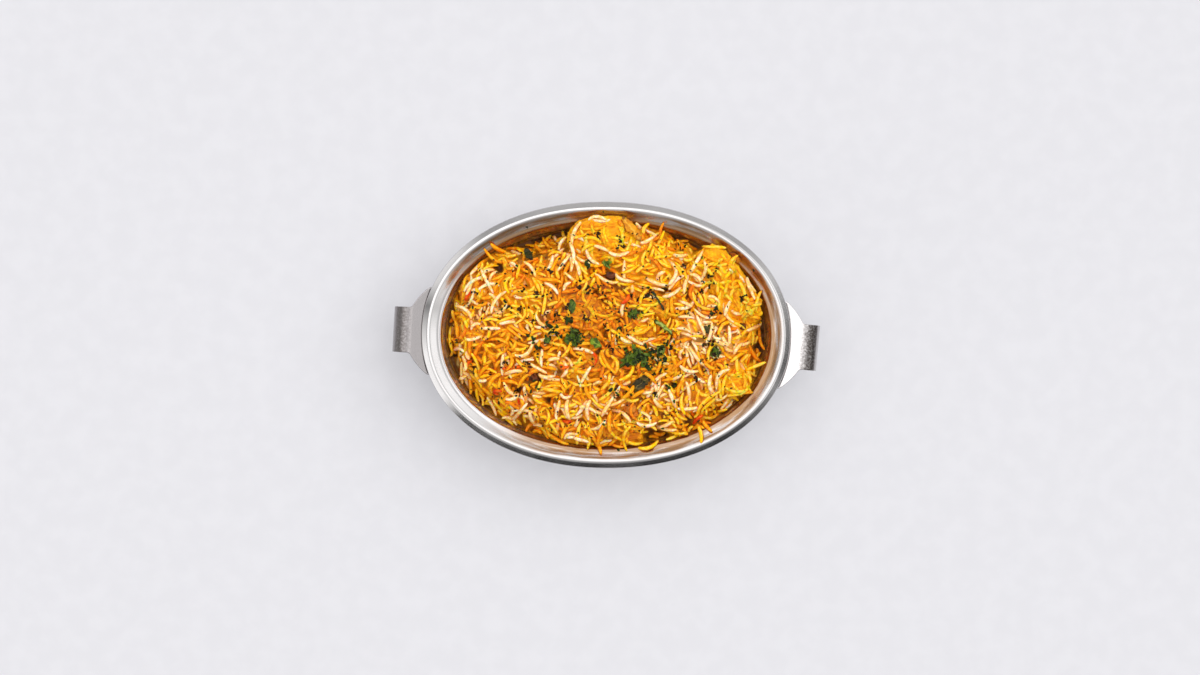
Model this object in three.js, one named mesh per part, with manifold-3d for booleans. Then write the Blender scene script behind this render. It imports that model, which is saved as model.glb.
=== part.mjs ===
// Biryani heaped in an oval steel serving dish with two curled handles.
//
// Millimetres, +Z up. The origin is the middle of the dish's underside, +X runs along the
// rim's long axis and +Y along its short one.

import * as THREE from "three";
import { mergeVertices } from "three/addons/utils/BufferGeometryUtils.js";
import Module from "manifold-3d";

const wasm = await Module();
wasm.setup();

// ---------------------------------------------------------------------------------------
// Driving dimensions
// ---------------------------------------------------------------------------------------

const RIM = { halfLength: 100, halfWidth: 72.25, power: 2.1 };   // outer edge, a superellipse
const HEIGHT = 45;          // underside to the rim's crest
const SHEET = 1;            // steel of the dish
const GAP = 0.3;            // clearance between pieces that touch
const SIDES = 48;           // facets round the oval

// Top face of the rim: inset from the outer edge, drop below the crest.
const RIM_PROFILE = [
  [0.0, 2.2],      // edge of the sloping flange
  [3.1, 0.0],      // crest
  [4.3, 0.0],
  [7.9, 3.0],      // foot of the inner slope
  [10.2, 3.5],     // ledge
];
const WALL = { topInset: 11.4, topDrop: 6.6, taper: 0.16, footRadius: 12, footSteps: 3 };

const HANDLE = {
  sheet: 1.5,
  baseHalfWidth: 24.6,      // where the tab comes out from under the rim
  curlHalfWidth: 12.4,
  curlStart: 106.5,         // distance from the dish's middle
  curlRadius: 8,
  curlEnd: -110,            // degrees, measured from straight out
  curlSteps: 7,
  slope: 14,                // degrees, rising outward
  dropAtRim: 5,             // tab's middle under the crest, at the rim's end
  weldTop: 11,              // flange that lies on the wall, below the crest
  weldFoot: 19,
  weldGap: 0.6,             // clearance to the wall, with what the facets take of it
  bend: [[9.1, 1.2], [7.6, 0]],       // inset and drop where the strip turns from wall to tab
  flare: [0, 0.35, 0.7, 1],           // shares of the way from the rim to the curl
  columns: 5,
};
// The way each handle points, in degrees from +X, and how far its line passes beside the middle.
const HANDLE_LINES = {
  handle_left: { turn: 177.3, shift: 3.2 },
  handle_right: { turn: -4.7, shift: 3.3 },
};

const HEAP = {
  crown: 55.5,              // height of the middle
  brow: 42.5,               // height the dome would have at the wall
  roundness: 2.3,           // power of the dome's fall
  edge: 38.2,               // height where it meets the wall
  edgeFall: 0.9,            // how far the edge sinks for each millimetre of gap
  shoulder: 8,              // width of the slope up from the edge
  bump: 1.2,                // relief of the bare surface
  bumpLength: 9,
  shift: 1.8,               // random shift of the bare surface's points
};
const HEAP_RINGS = [0.96, 0.93, 0.895, 0.855, 0.8, 0.73, 0.65, 0.56, 0.46, 0.35, 0.23, 0.11];

// Places where the food leaves the wall free: middle and half span in degrees, width in mm.
const WALL_GAPS = [
  { at: 118, span: 25, width: 8.6 },
  { at: 186, span: 26, width: 4.6 },
  { at: 222, span: 20, width: 3.6 },
  { at: 4, span: 24, width: 5.2 },
  { at: 48, span: 11, width: 4.4 },
  { at: 328, span: 12, width: 3 },
  { at: 297, span: 7, width: 3.2 },
];

const GRAIN = {
  sites: 142,
  shortest: 9.5,
  longest: 15.5,
  width: 2.4,
  sides: 4,
  bend: 0.14,               // most sideways bow, as a share of the length
  margin: 14,               // middles stay this far inside the rim's edge
  drift: 5,                 // random shift of a middle
  endLift: [0.2, 1.8],      // an end's height over the bare heap
  rooted: 0.08,             // least share of a grain that sinks into the heap
  stride: 83,               // steps through the sites, so that neighbours differ in length
  tries: 6,
};
const FLECK_RADIUS = 1.5;
const LEAF = {
  sheet: 0.5,
  reach: 1.8,               // feels this far round a point for what it lies on
  bridge: 2.5,              // most that a leaf sinks into a hollow
  wave: 0.35,
  curl: 0.5,                // lift of a leaf's sides
};

// ---------------------------------------------------------------------------------------
// What lies in and on the rice
// ---------------------------------------------------------------------------------------

// Chicken, onion and spice: middle, length and width, how far each reaches down into the
// rice and how far its top stands above it, turn in degrees, the sides of its mesh, and the
// height of what it lies on where that isn't the heap.
const LUMPS = [
  { name: "chicken_yellow", at: [-2, 51.5], size: [38, 25], depth: 13, rise: 6, turn: 4, sides: 14 },
  { name: "chicken_right", at: [66.5, 28], size: [49, 23], depth: 13, rise: 5.5, turn: -54, sides: 14 },
  { name: "chicken_left", at: [-71, 24], size: [18, 15], depth: 9, rise: 4, turn: 62, sides: 12 },
  { name: "chicken_center", at: [-12.5, 13.5], size: [25, 19], depth: 10, rise: 2.6, turn: -20, sides: 12 },
  { name: "chicken_mid", at: [26.5, 16.5], size: [25, 14], depth: 9, rise: 2.6, turn: -24, sides: 12 },
  { name: "chicken_low", at: [-12.5, -18], size: [21, 14], depth: 9, rise: 2.8, turn: 14, sides: 12 },
  { name: "chicken_bottom", at: [3, -48.5], size: [15, 12], depth: 8, rise: 3.6, turn: 78, sides: 12 },
  { name: "chicken_right_low", at: [71, -26], size: [18, 13], depth: 9, rise: 3.6, turn: 32, sides: 12 },
  { name: "chicken_gold", at: [36, -17], size: [12, 9], depth: 5, rise: 2.8, turn: 35, sides: 8 },
  { name: "chicken_small", at: [22.5, 1.5], size: [8.5, 7], depth: 4, rise: 2.2, turn: 10, sides: 8 },
  { name: "chicken_strip", at: [24.5, -45], size: [12, 6], depth: 4, rise: 2.6, turn: -6, sides: 8 },
  { name: "chicken_edge", at: [15.5, -55], size: [10.5, 5.5], depth: 4, rise: 3, turn: 10, sides: 8 },
  { name: "chicken_wedge", at: [-34, -11.5], size: [12.5, 4.8], depth: 3, rise: 2.4, turn: -9, sides: 8 },
  { name: "masala_left", at: [-80, 1], size: [13, 7], depth: 4.5, rise: 3, turn: 84, sides: 8 },
  { name: "onion_brown", at: [13.4, -40], size: [12, 8], depth: 5, rise: 2, turn: -70, sides: 8 },
  { name: "onion_fried", at: [-39, -21.5], size: [11, 7.5], depth: 3, rise: 2.4, turn: -48, sides: 8 },
  { name: "onion_red", at: [2, 32], size: [7, 5], depth: 3, rise: 1.8, turn: -12, sides: 8 },
  { name: "onion_pale", at: [-80, -15.5], size: [7.5, 4], depth: 2.5, rise: 2, turn: 76, sides: 8 },
  { name: "crisp", at: [69.5, 41.8], size: [8, 6], depth: 1, rise: 4, turn: -50, sides: 8,
    rest: 42.5 },
  { name: "raisin", at: [73.5, 5.5], size: [5.2, 4.4], depth: 2.5, rise: 2.2, turn: -20, sides: 8 },
];

// Single leaves and a strip of onion: middle, length and width, turn in degrees.
const LEAVES = [
  { name: "bay_strip", at: [17.6, -27], size: [20, 6.4], turn: 39 },
  { name: "amber_strip", at: [13.5, 57.5], size: [17, 5.2], turn: -50 },
  { name: "leaf_bright", at: [-5.5, -4.5], size: [8.4, 4.8], turn: -36 },
  { name: "leaf_gray", at: [-18.5, 15], size: [8.2, 4.2], turn: 84 },
  { name: "leaf_left", at: [-31.5, -3.5], size: [4.8, 4], turn: 20 },
  { name: "leaf_light", at: [29.5, -8], size: [6.4, 4.6], turn: 62 },
  { name: "leaf_top_left", at: [-42.5, 43.5], size: [8, 4.4], turn: -58 },
  { name: "leaf_right_thin", at: [55, 2.7], size: [7.4, 3], turn: -51 },
];

// Coriander sprigs: middle, half sizes, number of lobes and turn in degrees.
const SPRIGS = [
  { name: "coriander_main", at: [16.5, -11.5], half: [9.5, 5.6], lobes: 5, turn: 8 },
  { name: "coriander_left", at: [-17, -1.5], half: [5.4, 3.6], lobes: 4, turn: 32 },
  { name: "coriander_top", at: [0.5, 38.5], half: [2.6, 3.4], lobes: 3, turn: 10 },
  { name: "coriander_mid", at: [14.5, 11], half: [3, 2], lobes: 3, turn: 15 },
  { name: "coriander_right", at: [58.5, -9], half: [3, 3.4], lobes: 3, turn: 50 },
];

// Stalks: both ends and the thickness.
const STALKS = [
  { name: "stem", from: [25.8, 8.6], to: [36, 1], thick: 2.2 },
  { name: "twig", from: [25, 23.5], to: [31.2, 13.6], thick: 1.2 },
];

// Dark herb and spice flecks that are fused to the rice.
const FLECKS = [
  [-14.5, 28], [-7, 25.5], [-27, 26], [-33, 12], [-41, 9.5], [-50.5, 30], [-30, 39],
  [48, 16.5], [37, -32.5], [3.5, -27], [62.5, 12], [52, -20], [-24, -28], [-37, -34],
  [30, 30.5], [44, 40],
];

// Long grains that reach over the ledge: inner end, and outer end.
const OVERHANGS = [
  { from: [-7, -52], to: [0.5, -64.5] },
  { from: [-13, -53.5], to: [-3.5, -62.5] },
  { from: [18, -55.5], to: [24.5, -63] },
  { from: [49.5, -44.5], to: [53, -57.5] },
  { from: [50, -43], to: [60.5, -52] },
  { from: [77, -19], to: [89, -14] },
  { from: [-75, -31.5], to: [-82.5, -37.5] },
  { from: [-18, 55], to: [-14, 63.5] },
];

// ---------------------------------------------------------------------------------------
// Materials
// ---------------------------------------------------------------------------------------

function finish(color, roughness, metalness = 0) {
  return new THREE.MeshStandardMaterial({ color, roughness, metalness });
}

const MATERIALS = {
  steel: finish(0xc9c9cc, 0.25, 1),
  rice: finish(0xf2b233, 0.6),
  chicken: finish(0xe8901c, 0.5),
  masala: finish(0xa8551d, 0.6),
  onion: finish(0x5a2c1c, 0.55),
  leaf: finish(0x2f4a1e, 0.6),
  stem: finish(0x86a045, 0.5),
};

function materialFor(name) {
  const kinds = [
    [/^(dish|handle)/, "steel"],
    [/^rice/, "rice"],
    [/^chicken/, "chicken"],
    [/^(masala|crisp|amber)/, "masala"],
    [/^(onion|raisin|twig)/, "onion"],
    [/^(stem|leaf_light)/, "stem"],
    [/./, "leaf"],
  ];
  return MATERIALS[kinds.find(([pattern]) => pattern.test(name))[1]];
}

// ---------------------------------------------------------------------------------------
// Small tools
// ---------------------------------------------------------------------------------------

const { degToRad, lerp, smoothstep } = THREE.MathUtils;

function seededRandom(seed) {
  let state = seed;
  return () => {
    state = (Math.imul(state, 1664525) + 1013904223) >>> 0;
    return state / 4294967296;
  };
}

// A smooth uneven field of about -1 to 1: plane waves in random directions, added up.
function makeRelief(seed, wavelength, waves = 6) {
  const random = seededRandom(seed);
  const terms = Array.from({ length: waves }, () => {
    const direction = new THREE.Vector3(random() - 0.5, random() - 0.5, random() - 0.5);
    direction.setLength(2 * Math.PI / (wavelength * lerp(0.75, 1.4, random())));
    return { direction, phase: random() * 2 * Math.PI };
  });
  return (x, y, z = 0) => {
    const point = new THREE.Vector3(x, y, z);
    const sum = terms.reduce((total, { direction, phase }) => (
      total + Math.sin(direction.dot(point) + phase)), 0);
    return sum / Math.sqrt(waves * 2);
  };
}

function geometryFrom(vertices, triangles) {
  const geometry = new THREE.BufferGeometry();
  geometry.setAttribute("position", new THREE.Float32BufferAttribute(vertices.flat(), 3));
  geometry.setIndex(triangles.flat());
  return geometry;
}

function toSolid(geometry) {
  const bare = geometry.clone();
  bare.deleteAttribute("normal");
  bare.deleteAttribute("uv");
  const merged = mergeVertices(bare, 1e-4);
  return new wasm.Manifold(new wasm.Mesh({
    numProp: 3,
    vertProperties: new Float32Array(merged.attributes.position.array),
    triVerts: new Uint32Array(merged.index.array),
  }));
}

function toGeometry(solid) {
  const { vertProperties, triVerts } = solid.getMesh();
  const geometry = new THREE.BufferGeometry();
  geometry.setAttribute("position", new THREE.BufferAttribute(vertProperties, 3));
  geometry.setIndex(new THREE.BufferAttribute(triVerts, 1));
  return geometry;
}

// The same solid, larger by a distance all round.
function grown(solid, distance) {
  const geometry = toGeometry(solid);
  geometry.computeVertexNormals();
  const { position, normal } = geometry.attributes;
  for (let i = 0; i < position.count; i += 1) {
    const point = new THREE.Vector3().fromBufferAttribute(position, i);
    const outward = new THREE.Vector3().fromBufferAttribute(normal, i);
    point.addScaledVector(outward, distance);
    position.setXYZ(i, point.x, point.y, point.z);
  }
  return toSolid(geometry);
}

// The largest connected body, so that loose scraps are dropped.
function largestBody(solid) {
  return solid.decompose().reduce((best, body) => (
    body.volume() > best.volume() ? body : best));
}

// A closed solid from a stack of rings between two points. The rings turn anticlockwise
// about the way that the stack goes.
function ringSolid(start, rings, end) {
  const count = rings[0].length;
  const vertices = [start, ...rings.flat(), end];
  const triangles = [];
  const at = (ring, side) => 1 + ring * count + (side % count);
  for (let side = 0; side < count; side += 1) {
    triangles.push([0, at(0, side + 1), at(0, side)]);
    for (let ring = 0; ring < rings.length - 1; ring += 1) {
      const [a, b] = [at(ring, side), at(ring, side + 1)];
      const [c, d] = [at(ring + 1, side + 1), at(ring + 1, side)];
      triangles.push([a, b, c], [a, c, d]);
    }
    const last = rings.length - 1;
    triangles.push([vertices.length - 1, at(last, side), at(last, side + 1)]);
  }
  return geometryFrom(vertices, triangles);
}

// A thin closed solid over a grid, both faces split alike. place(row, column, face) gives a
// point of the upper face for face 1 and of the lower one for face -1.
function sheetSolid(rows, columns, place) {
  const vertices = [];
  for (const face of [1, -1]) {
    for (let row = 0; row < rows; row += 1) {
      for (let column = 0; column < columns; column += 1) {
        vertices.push(place(row, column, face));
      }
    }
  }
  const at = (row, column) => row * columns + column;
  const under = (index) => index + rows * columns;
  const triangles = [];
  for (let row = 0; row < rows - 1; row += 1) {
    for (let column = 0; column < columns - 1; column += 1) {
      const [a, b] = [at(row, column), at(row + 1, column)];
      const [c, d] = [at(row + 1, column + 1), at(row, column + 1)];
      triangles.push([a, b, c], [a, c, d]);
      triangles.push([under(a), under(c), under(b)], [under(a), under(d), under(c)]);
    }
  }
  const edge = [];
  for (let row = 0; row < rows - 1; row += 1) edge.push(at(row, 0));
  for (let column = 0; column < columns - 1; column += 1) edge.push(at(rows - 1, column));
  for (let row = rows - 1; row > 0; row -= 1) edge.push(at(row, columns - 1));
  for (let column = columns - 1; column > 0; column -= 1) edge.push(at(0, column));
  edge.forEach((from, i) => {
    const to = edge[(i + 1) % edge.length];
    triangles.push([to, from, under(from)], [to, under(from), under(to)]);
  });
  return geometryFrom(vertices, triangles);
}

// ---------------------------------------------------------------------------------------
// Dish
// ---------------------------------------------------------------------------------------

const WALL_TOP = HEIGHT - WALL.topDrop;
const WALL_COS = Math.cos(Math.atan(WALL.taper));

function wallInset(z) {
  return WALL.topInset + (WALL_TOP - z) * WALL.taper;
}

function ovalPoint(halfLength, halfWidth, turn, z) {
  const [c, s] = [Math.cos(turn), Math.sin(turn)];
  const power = 2 / RIM.power;
  return [
    halfLength * Math.sign(c) * Math.abs(c) ** power,
    halfWidth * Math.sign(s) * Math.abs(s) ** power,
    z,
  ];
}

// A ring of the oval drawn in by an inset. The height can differ along the ring.
function ovalRing(insetAt, heightAt) {
  return Array.from({ length: SIDES }, (_, side) => {
    const turn = side * 2 * Math.PI / SIDES;
    const [x, y] = ovalPoint(RIM.halfLength, RIM.halfWidth, turn, 0);
    const z = heightAt(x, y);
    const inset = insetAt(z);
    return ovalPoint(RIM.halfLength - inset, RIM.halfWidth - inset, turn, z);
  });
}

function levelRing([inset, z]) {
  return ovalRing(() => inset, () => z);
}

// The foot's arc on the food side, from the wall to the floor.
function footArc() {
  const middleZ = SHEET + WALL.footRadius;
  const middleInset = wallInset(middleZ) + WALL.footRadius / WALL_COS;
  const from = Math.atan(WALL.taper);
  return Array.from({ length: WALL.footSteps + 1 }, (_, step) => {
    const angle = lerp(from, Math.PI / 2, step / WALL.footSteps);
    return [
      middleInset - WALL.footRadius * Math.cos(angle),
      middleZ - WALL.footRadius * Math.sin(angle),
    ];
  });
}

const RIM_FACE = RIM_PROFILE.map(([inset, drop]) => [inset, HEIGHT - drop]);
const INNER_FACE = [...RIM_FACE, [WALL.topInset, WALL_TOP], ...footArc()];

// A profile moved to the food side, or to the outside by a negative distance.
function offsetProfile(profile, distance) {
  const directions = profile.slice(1).map(([inset, z], i) => (
    new THREE.Vector2(inset - profile[i][0], z - profile[i][1]).normalize()));
  return profile.map(([inset, z], i) => {
    const before = directions[Math.max(i - 1, 0)];
    const after = i < directions.length ? directions[i] : new THREE.Vector2(1, 0);
    const along = before.clone().add(after).normalize();
    const reach = distance / along.dot(after);
    return [inset - along.y * reach, z + along.x * reach];
  });
}

// The dish's solid. Clearance makes both faces stand out by that much, for cutting.
function dishGeometry(clearance) {
  const inner = offsetProfile(INNER_FACE, clearance);
  const outer = offsetProfile(INNER_FACE, -SHEET - clearance);
  const rings = [...outer.reverse(), ...inner].map(levelRing);
  return ringSolid([0, 0, rings[0][0][2]], rings, [0, 0, rings.at(-1)[0][2]]);
}

// ---------------------------------------------------------------------------------------
// Handles
// ---------------------------------------------------------------------------------------

// How far out the inset oval lies at a distance beside a handle's own line.
function ovalReach(inset, beside, turn) {
  let [near, far] = [0, 2 * RIM.halfLength];
  for (let step = 0; step < 40; step += 1) {
    const reach = (near + far) / 2;
    const x = reach * Math.cos(turn) - beside * Math.sin(turn);
    const y = reach * Math.sin(turn) + beside * Math.cos(turn);
    const inside = Math.abs(x / (RIM.halfLength - inset)) ** RIM.power
      + Math.abs(y / (RIM.halfWidth - inset)) ** RIM.power < 1;
    [near, far] = inside ? [reach, far] : [near, reach];
  }
  return near;
}

// The middle of the sheet from the weld on the wall, out under the rim and round the curl.
// Each station gives its half width and a function of the distance beside the middle line.
function handleStations(turn) {
  const rise = Math.tan(degToRad(HANDLE.slope));
  const tabHeight = (reach) => (
    HEIGHT - HANDLE.dropAtRim + (reach - RIM.halfLength) * rise);
  const weldInset = (z) => (
    wallInset(z) - SHEET / WALL_COS - HANDLE.weldGap - HANDLE.sheet / 2);
  const onWall = (drop) => ({
    half: HANDLE.baseHalfWidth,
    place: (beside) => [ovalReach(weldInset(HEIGHT - drop), beside, turn), HEIGHT - drop],
  });
  const onBend = ([inset, lower]) => ({
    half: HANDLE.baseHalfWidth,
    place: (beside) => {
      const reach = ovalReach(inset, beside, turn);
      return [reach, tabHeight(reach) - lower];
    },
  });
  const onTab = (share) => ({
    half: lerp(HANDLE.baseHalfWidth, HANDLE.curlHalfWidth, share),
    place: (beside) => {
      const reach = lerp(ovalReach(-1, beside, turn), HANDLE.curlStart, share);
      return [reach, tabHeight(reach)];
    },
  });
  const radius = HANDLE.curlRadius - HANDLE.sheet / 2;
  const slope = degToRad(HANDLE.slope);
  const middleX = HANDLE.curlStart + radius * Math.sin(slope);
  const middleZ = tabHeight(HANDLE.curlStart) - radius * Math.cos(slope);
  const curl = Array.from({ length: HANDLE.curlSteps }, (_, i) => {
    const share = (i + 1) / HANDLE.curlSteps;
    const angle = degToRad(lerp(90 + HANDLE.slope, HANDLE.curlEnd, share));
    return {
      half: HANDLE.curlHalfWidth,
      place: () => [middleX + radius * Math.cos(angle), middleZ + radius * Math.sin(angle)],
    };
  });
  return [
    onWall(HANDLE.weldFoot),
    onWall(HANDLE.weldTop),
    ...HANDLE.bend.map(onBend),
    ...HANDLE.flare.map(onTab),
    ...curl,
  ];
}

function handleGeometry(turn, shift) {
  const stations = handleStations(turn);
  const middle = stations.map(({ half, place }) => (
    Array.from({ length: HANDLE.columns }, (_, column) => {
      const beside = lerp(shift - half, shift + half, column / (HANDLE.columns - 1));
      const [x, z] = place(beside);
      return new THREE.Vector3(x, beside, z);
    })));
  return sheetSolid(stations.length, HANDLE.columns, (row, column, face) => {
    const before = middle[Math.max(row - 1, 0)][column];
    const after = middle[Math.min(row + 1, stations.length - 1)][column];
    const along = after.clone().sub(before).setY(0).normalize();
    const point = middle[row][column];
    const reach = face * HANDLE.sheet / 2;
    return [point.x - along.z * reach, point.y, point.z + along.x * reach];
  });
}

// ---------------------------------------------------------------------------------------
// Heap of rice, bare
// ---------------------------------------------------------------------------------------

const relief = makeRelief(11, HEAP.bumpLength, 8);

function wallGap(x, y) {
  const angle = THREE.MathUtils.radToDeg(Math.atan2(y, x));
  return WALL_GAPS.reduce((total, { at, span, width }) => {
    const away = Math.abs(THREE.MathUtils.euclideanModulo(angle - at + 180, 360) - 180);
    return total + width * (1 - smoothstep(away / span, 0.55, 1.25));
  }, 0);
}

// A place's share of the way from the middle to the wall, and its distance from the wall.
function placeInOval(x, y) {
  const inset = wallInset(HEAP.edge) + GAP;
  const away = Math.max(Math.hypot(x, y), 1e-3);
  const share = (Math.abs(x / (RIM.halfLength - inset)) ** RIM.power
    + Math.abs(y / (RIM.halfWidth - inset)) ** RIM.power) ** (1 / RIM.power);
  const reach = share > 0 ? away / share : RIM.halfWidth;
  return { share, inward: Math.max(1 - share, 0) * reach };
}

function heapEdge(x, y) {
  return HEAP.edge - HEAP.edgeFall * wallGap(x, y);
}

function heapHeight(x, y) {
  const { share, inward } = placeInOval(x, y);
  const dome = lerp(HEAP.crown, HEAP.brow, Math.min(share, 1) ** HEAP.roundness);
  const gap = 0.9 * wallGap(x, y);
  const climb = smoothstep(inward, gap, gap + HEAP.shoulder);
  const bumps = HEAP.bump * relief(x, y) * smoothstep(inward, 0, 6);
  return lerp(heapEdge(x, y), dome, climb) + bumps;
}

// The heap without its grains: the dish's form with a gap, under an uneven dome. The
// points of the dome are shifted a little, so that its facets look irregular.
function heapGeometry() {
  const random = seededRandom(5);
  const shift = () => HEAP.shift * (random() - 0.5);
  const foot = offsetProfile(INNER_FACE, GAP).slice(-WALL.footSteps - 1).reverse();
  const edge = ovalRing((z) => wallInset(z) + GAP / WALL_COS, heapEdge);
  const dome = HEAP_RINGS.map((share) => edge.map((point) => {
    const [x, y] = [point[0] * share + shift(), point[1] * share + shift()];
    return [x, y, heapHeight(x, y)];
  }));
  return ringSolid(
    [0, 0, foot[0][1]], [...foot.map(levelRing), edge, ...dome], [0, 0, heapHeight(0, 0)]);
}

// ---------------------------------------------------------------------------------------
// Toppings
// ---------------------------------------------------------------------------------------

// An uneven chunk with a rounded top that stands clear of the heap, widest where it meets
// the rice, and a plain foot below.
function lumpGeometry({ at, size, depth, rise, turn, sides, rest = heapHeight(...at) }, seed) {
  const uneven = makeRelief(seed, 2.4);
  const angle = degToRad(turn);
  const place = (spread, height, round) => {
    const [c, s] = [Math.cos(round), Math.sin(round)];
    const blunt = 1 / (Math.abs(c) ** 2.6 + Math.abs(s) ** 2.6) ** (1 / 2.6);
    const reach = spread * blunt * (1 + 0.13 * uneven(c, s, height / size[1]));
    const [u, v] = [reach * c * size[0] / 2, reach * s * size[1] / 2];
    const lift = height > 0 ? 0.16 * rise * uneven(2 * reach * c, 2 * reach * s, 3) : 0;
    return [
      at[0] + u * Math.cos(angle) - v * Math.sin(angle),
      at[1] + u * Math.sin(angle) + v * Math.cos(angle),
      rest + height + lift,
    ];
  };
  const crownAngles = sides > 8 ? [0, 30, 55, 75] : [0, 45];
  const levels = [[0.72, -depth], ...crownAngles.map((latitude) => {
    const tilt = degToRad(latitude);
    return [Math.cos(tilt) ** 0.8, lerp(-1, rise, Math.sin(tilt))];
  })];
  const rings = levels.map(([spread, height]) => (
    Array.from({ length: sides }, (_, i) => place(spread, height, i * 2 * Math.PI / sides))));
  return ringSolid(place(0, -depth, 0), rings, place(0, rise, 0));
}

// Height of the highest thing under a small disc.
function restHeight(grounds, x, y, radius) {
  const ray = new THREE.Raycaster();
  const heights = Array.from({ length: 7 }, (_, i) => {
    const reach = i === 0 ? 0 : radius;
    const angle = i * Math.PI / 3;
    const from = new THREE.Vector3(
      x + reach * Math.cos(angle),
      y + reach * Math.sin(angle),
      3 * HEIGHT,
    );
    ray.set(from, new THREE.Vector3(0, 0, -1));
    const [hit] = ray.intersectObjects(grounds);
    return hit ? hit.point.z : 0;
  });
  return Math.max(...heights);
}

// A pointed leaf that lies over what is under it and bridges hollows, its sides curled up.
function leafGeometry({ at, size, turn }, grounds) {
  const [rows, columns] = [size[0] > 10 ? 8 : 5, 3];
  const angle = degToRad(turn);
  const lowest = restHeight(grounds, ...at, LEAF.reach) - LEAF.bridge;
  return sheetSolid(rows, columns, (row, column, face) => {
    const along = row / (rows - 1);
    const side = 2 * column / (columns - 1) - 1;
    const width = 0.12 + 0.88 * Math.sin(Math.PI * along) ** 0.8;
    const [u, v] = [(along - 0.5) * size[0], side * width * size[1] / 2];
    const x = at[0] + u * Math.cos(angle) - v * Math.sin(angle);
    const y = at[1] + u * Math.sin(angle) + v * Math.cos(angle);
    const wave = LEAF.wave * (1 + Math.sin(2 * Math.PI * along + side));
    const rest = Math.max(restHeight(grounds, x, y, LEAF.reach), lowest) + GAP;
    return [x, y, rest + wave + LEAF.curl * side * side + (1 + face) * LEAF.sheet / 2];
  });
}

// A lobed and crinkled sprig, both faces split alike.
function sprigGeometry({ at, half, lobes, turn }, grounds) {
  const sectors = lobes * (half[0] > 8 ? 4 : 3);
  const ringShares = half[0] > 8 ? [0.4, 0.72, 1] : [0.55, 1];
  const angle = degToRad(turn);
  const place = (share, sector, face) => {
    const round = sector * 2 * Math.PI / sectors;
    const lobe = 1 - 0.3 * share * (0.5 + 0.5 * Math.cos(lobes * round));
    const u = half[0] * share * lobe * Math.cos(round);
    const v = half[1] * share * lobe * Math.sin(round);
    const x = at[0] + u * Math.cos(angle) - v * Math.sin(angle);
    const y = at[1] + u * Math.sin(angle) + v * Math.cos(angle);
    const crinkle = LEAF.curl * share * (1 + Math.sin(lobes * round + share * 2));
    const rest = restHeight(grounds, x, y, LEAF.reach) + GAP;
    return [x, y, rest + crinkle + (1 + face) * LEAF.sheet / 2];
  };
  const ringOf = (share, face) => (
    Array.from({ length: sectors }, (_, sector) => place(share, sector, face)));
  const under = ringShares.map((share) => ringOf(share, -1));
  const over = ringShares.map((share) => ringOf(share, 1)).reverse();
  return ringSolid(place(0, 0, -1), [...under, ...over], place(0, 0, 1));
}

// A round stalk that lies over what is under it.
function stalkGeometry({ from, to, thick }, grounds) {
  const points = [0, 0.33, 0.67, 1].map((share) => {
    const [x, y] = [lerp(from[0], to[0], share), lerp(from[1], to[1], share)];
    const rest = restHeight(grounds, x, y, 2.4) + GAP + thick / 2;
    return new THREE.Vector3(x, y, rest);
  });
  const section = new THREE.Shape(Array.from({ length: 6 }, (_, corner) => {
    const angle = corner * Math.PI / 3;
    return new THREE.Vector2(Math.cos(angle), Math.sin(angle)).multiplyScalar(thick / 2);
  }));
  const extrudePath = new THREE.CatmullRomCurve3(points);
  return new THREE.ExtrudeGeometry(section, { steps: 4, extrudePath });
}

// ---------------------------------------------------------------------------------------
// Grains
// ---------------------------------------------------------------------------------------

// One cooked grain between two points: thick in the middle, bent to one side.
function grainSolid(from, to, width, bend) {
  const axis = to.clone().sub(from);
  const length = axis.length();
  axis.normalize();
  const side = new THREE.Vector3(0, 0, 1).cross(axis).normalize();
  const up = axis.clone().cross(side);
  const place = (share) => from.clone().lerp(to, share)
    .addScaledVector(side, bend * length * 4 * share * (1 - share));
  const rings = [0.24, 0.76].map((share) => (
    Array.from({ length: GRAIN.sides }, (_, corner) => {
      const angle = corner * 2 * Math.PI / GRAIN.sides;
      return place(share)
        .addScaledVector(side, Math.cos(angle) * width / 2)
        .addScaledVector(up, Math.sin(angle) * width / 2)
        .toArray();
    })));
  return toSolid(ringSolid(place(0).toArray(), rings, place(1).toArray()));
}

function clearOfGap({ x, y }) {
  return placeInOval(x, y).inward > wallGap(x, y) * 0.9;
}

function surfacePoint(x, y, lift) {
  return new THREE.Vector3(x, y, heapHeight(x, y) + lift);
}

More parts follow.
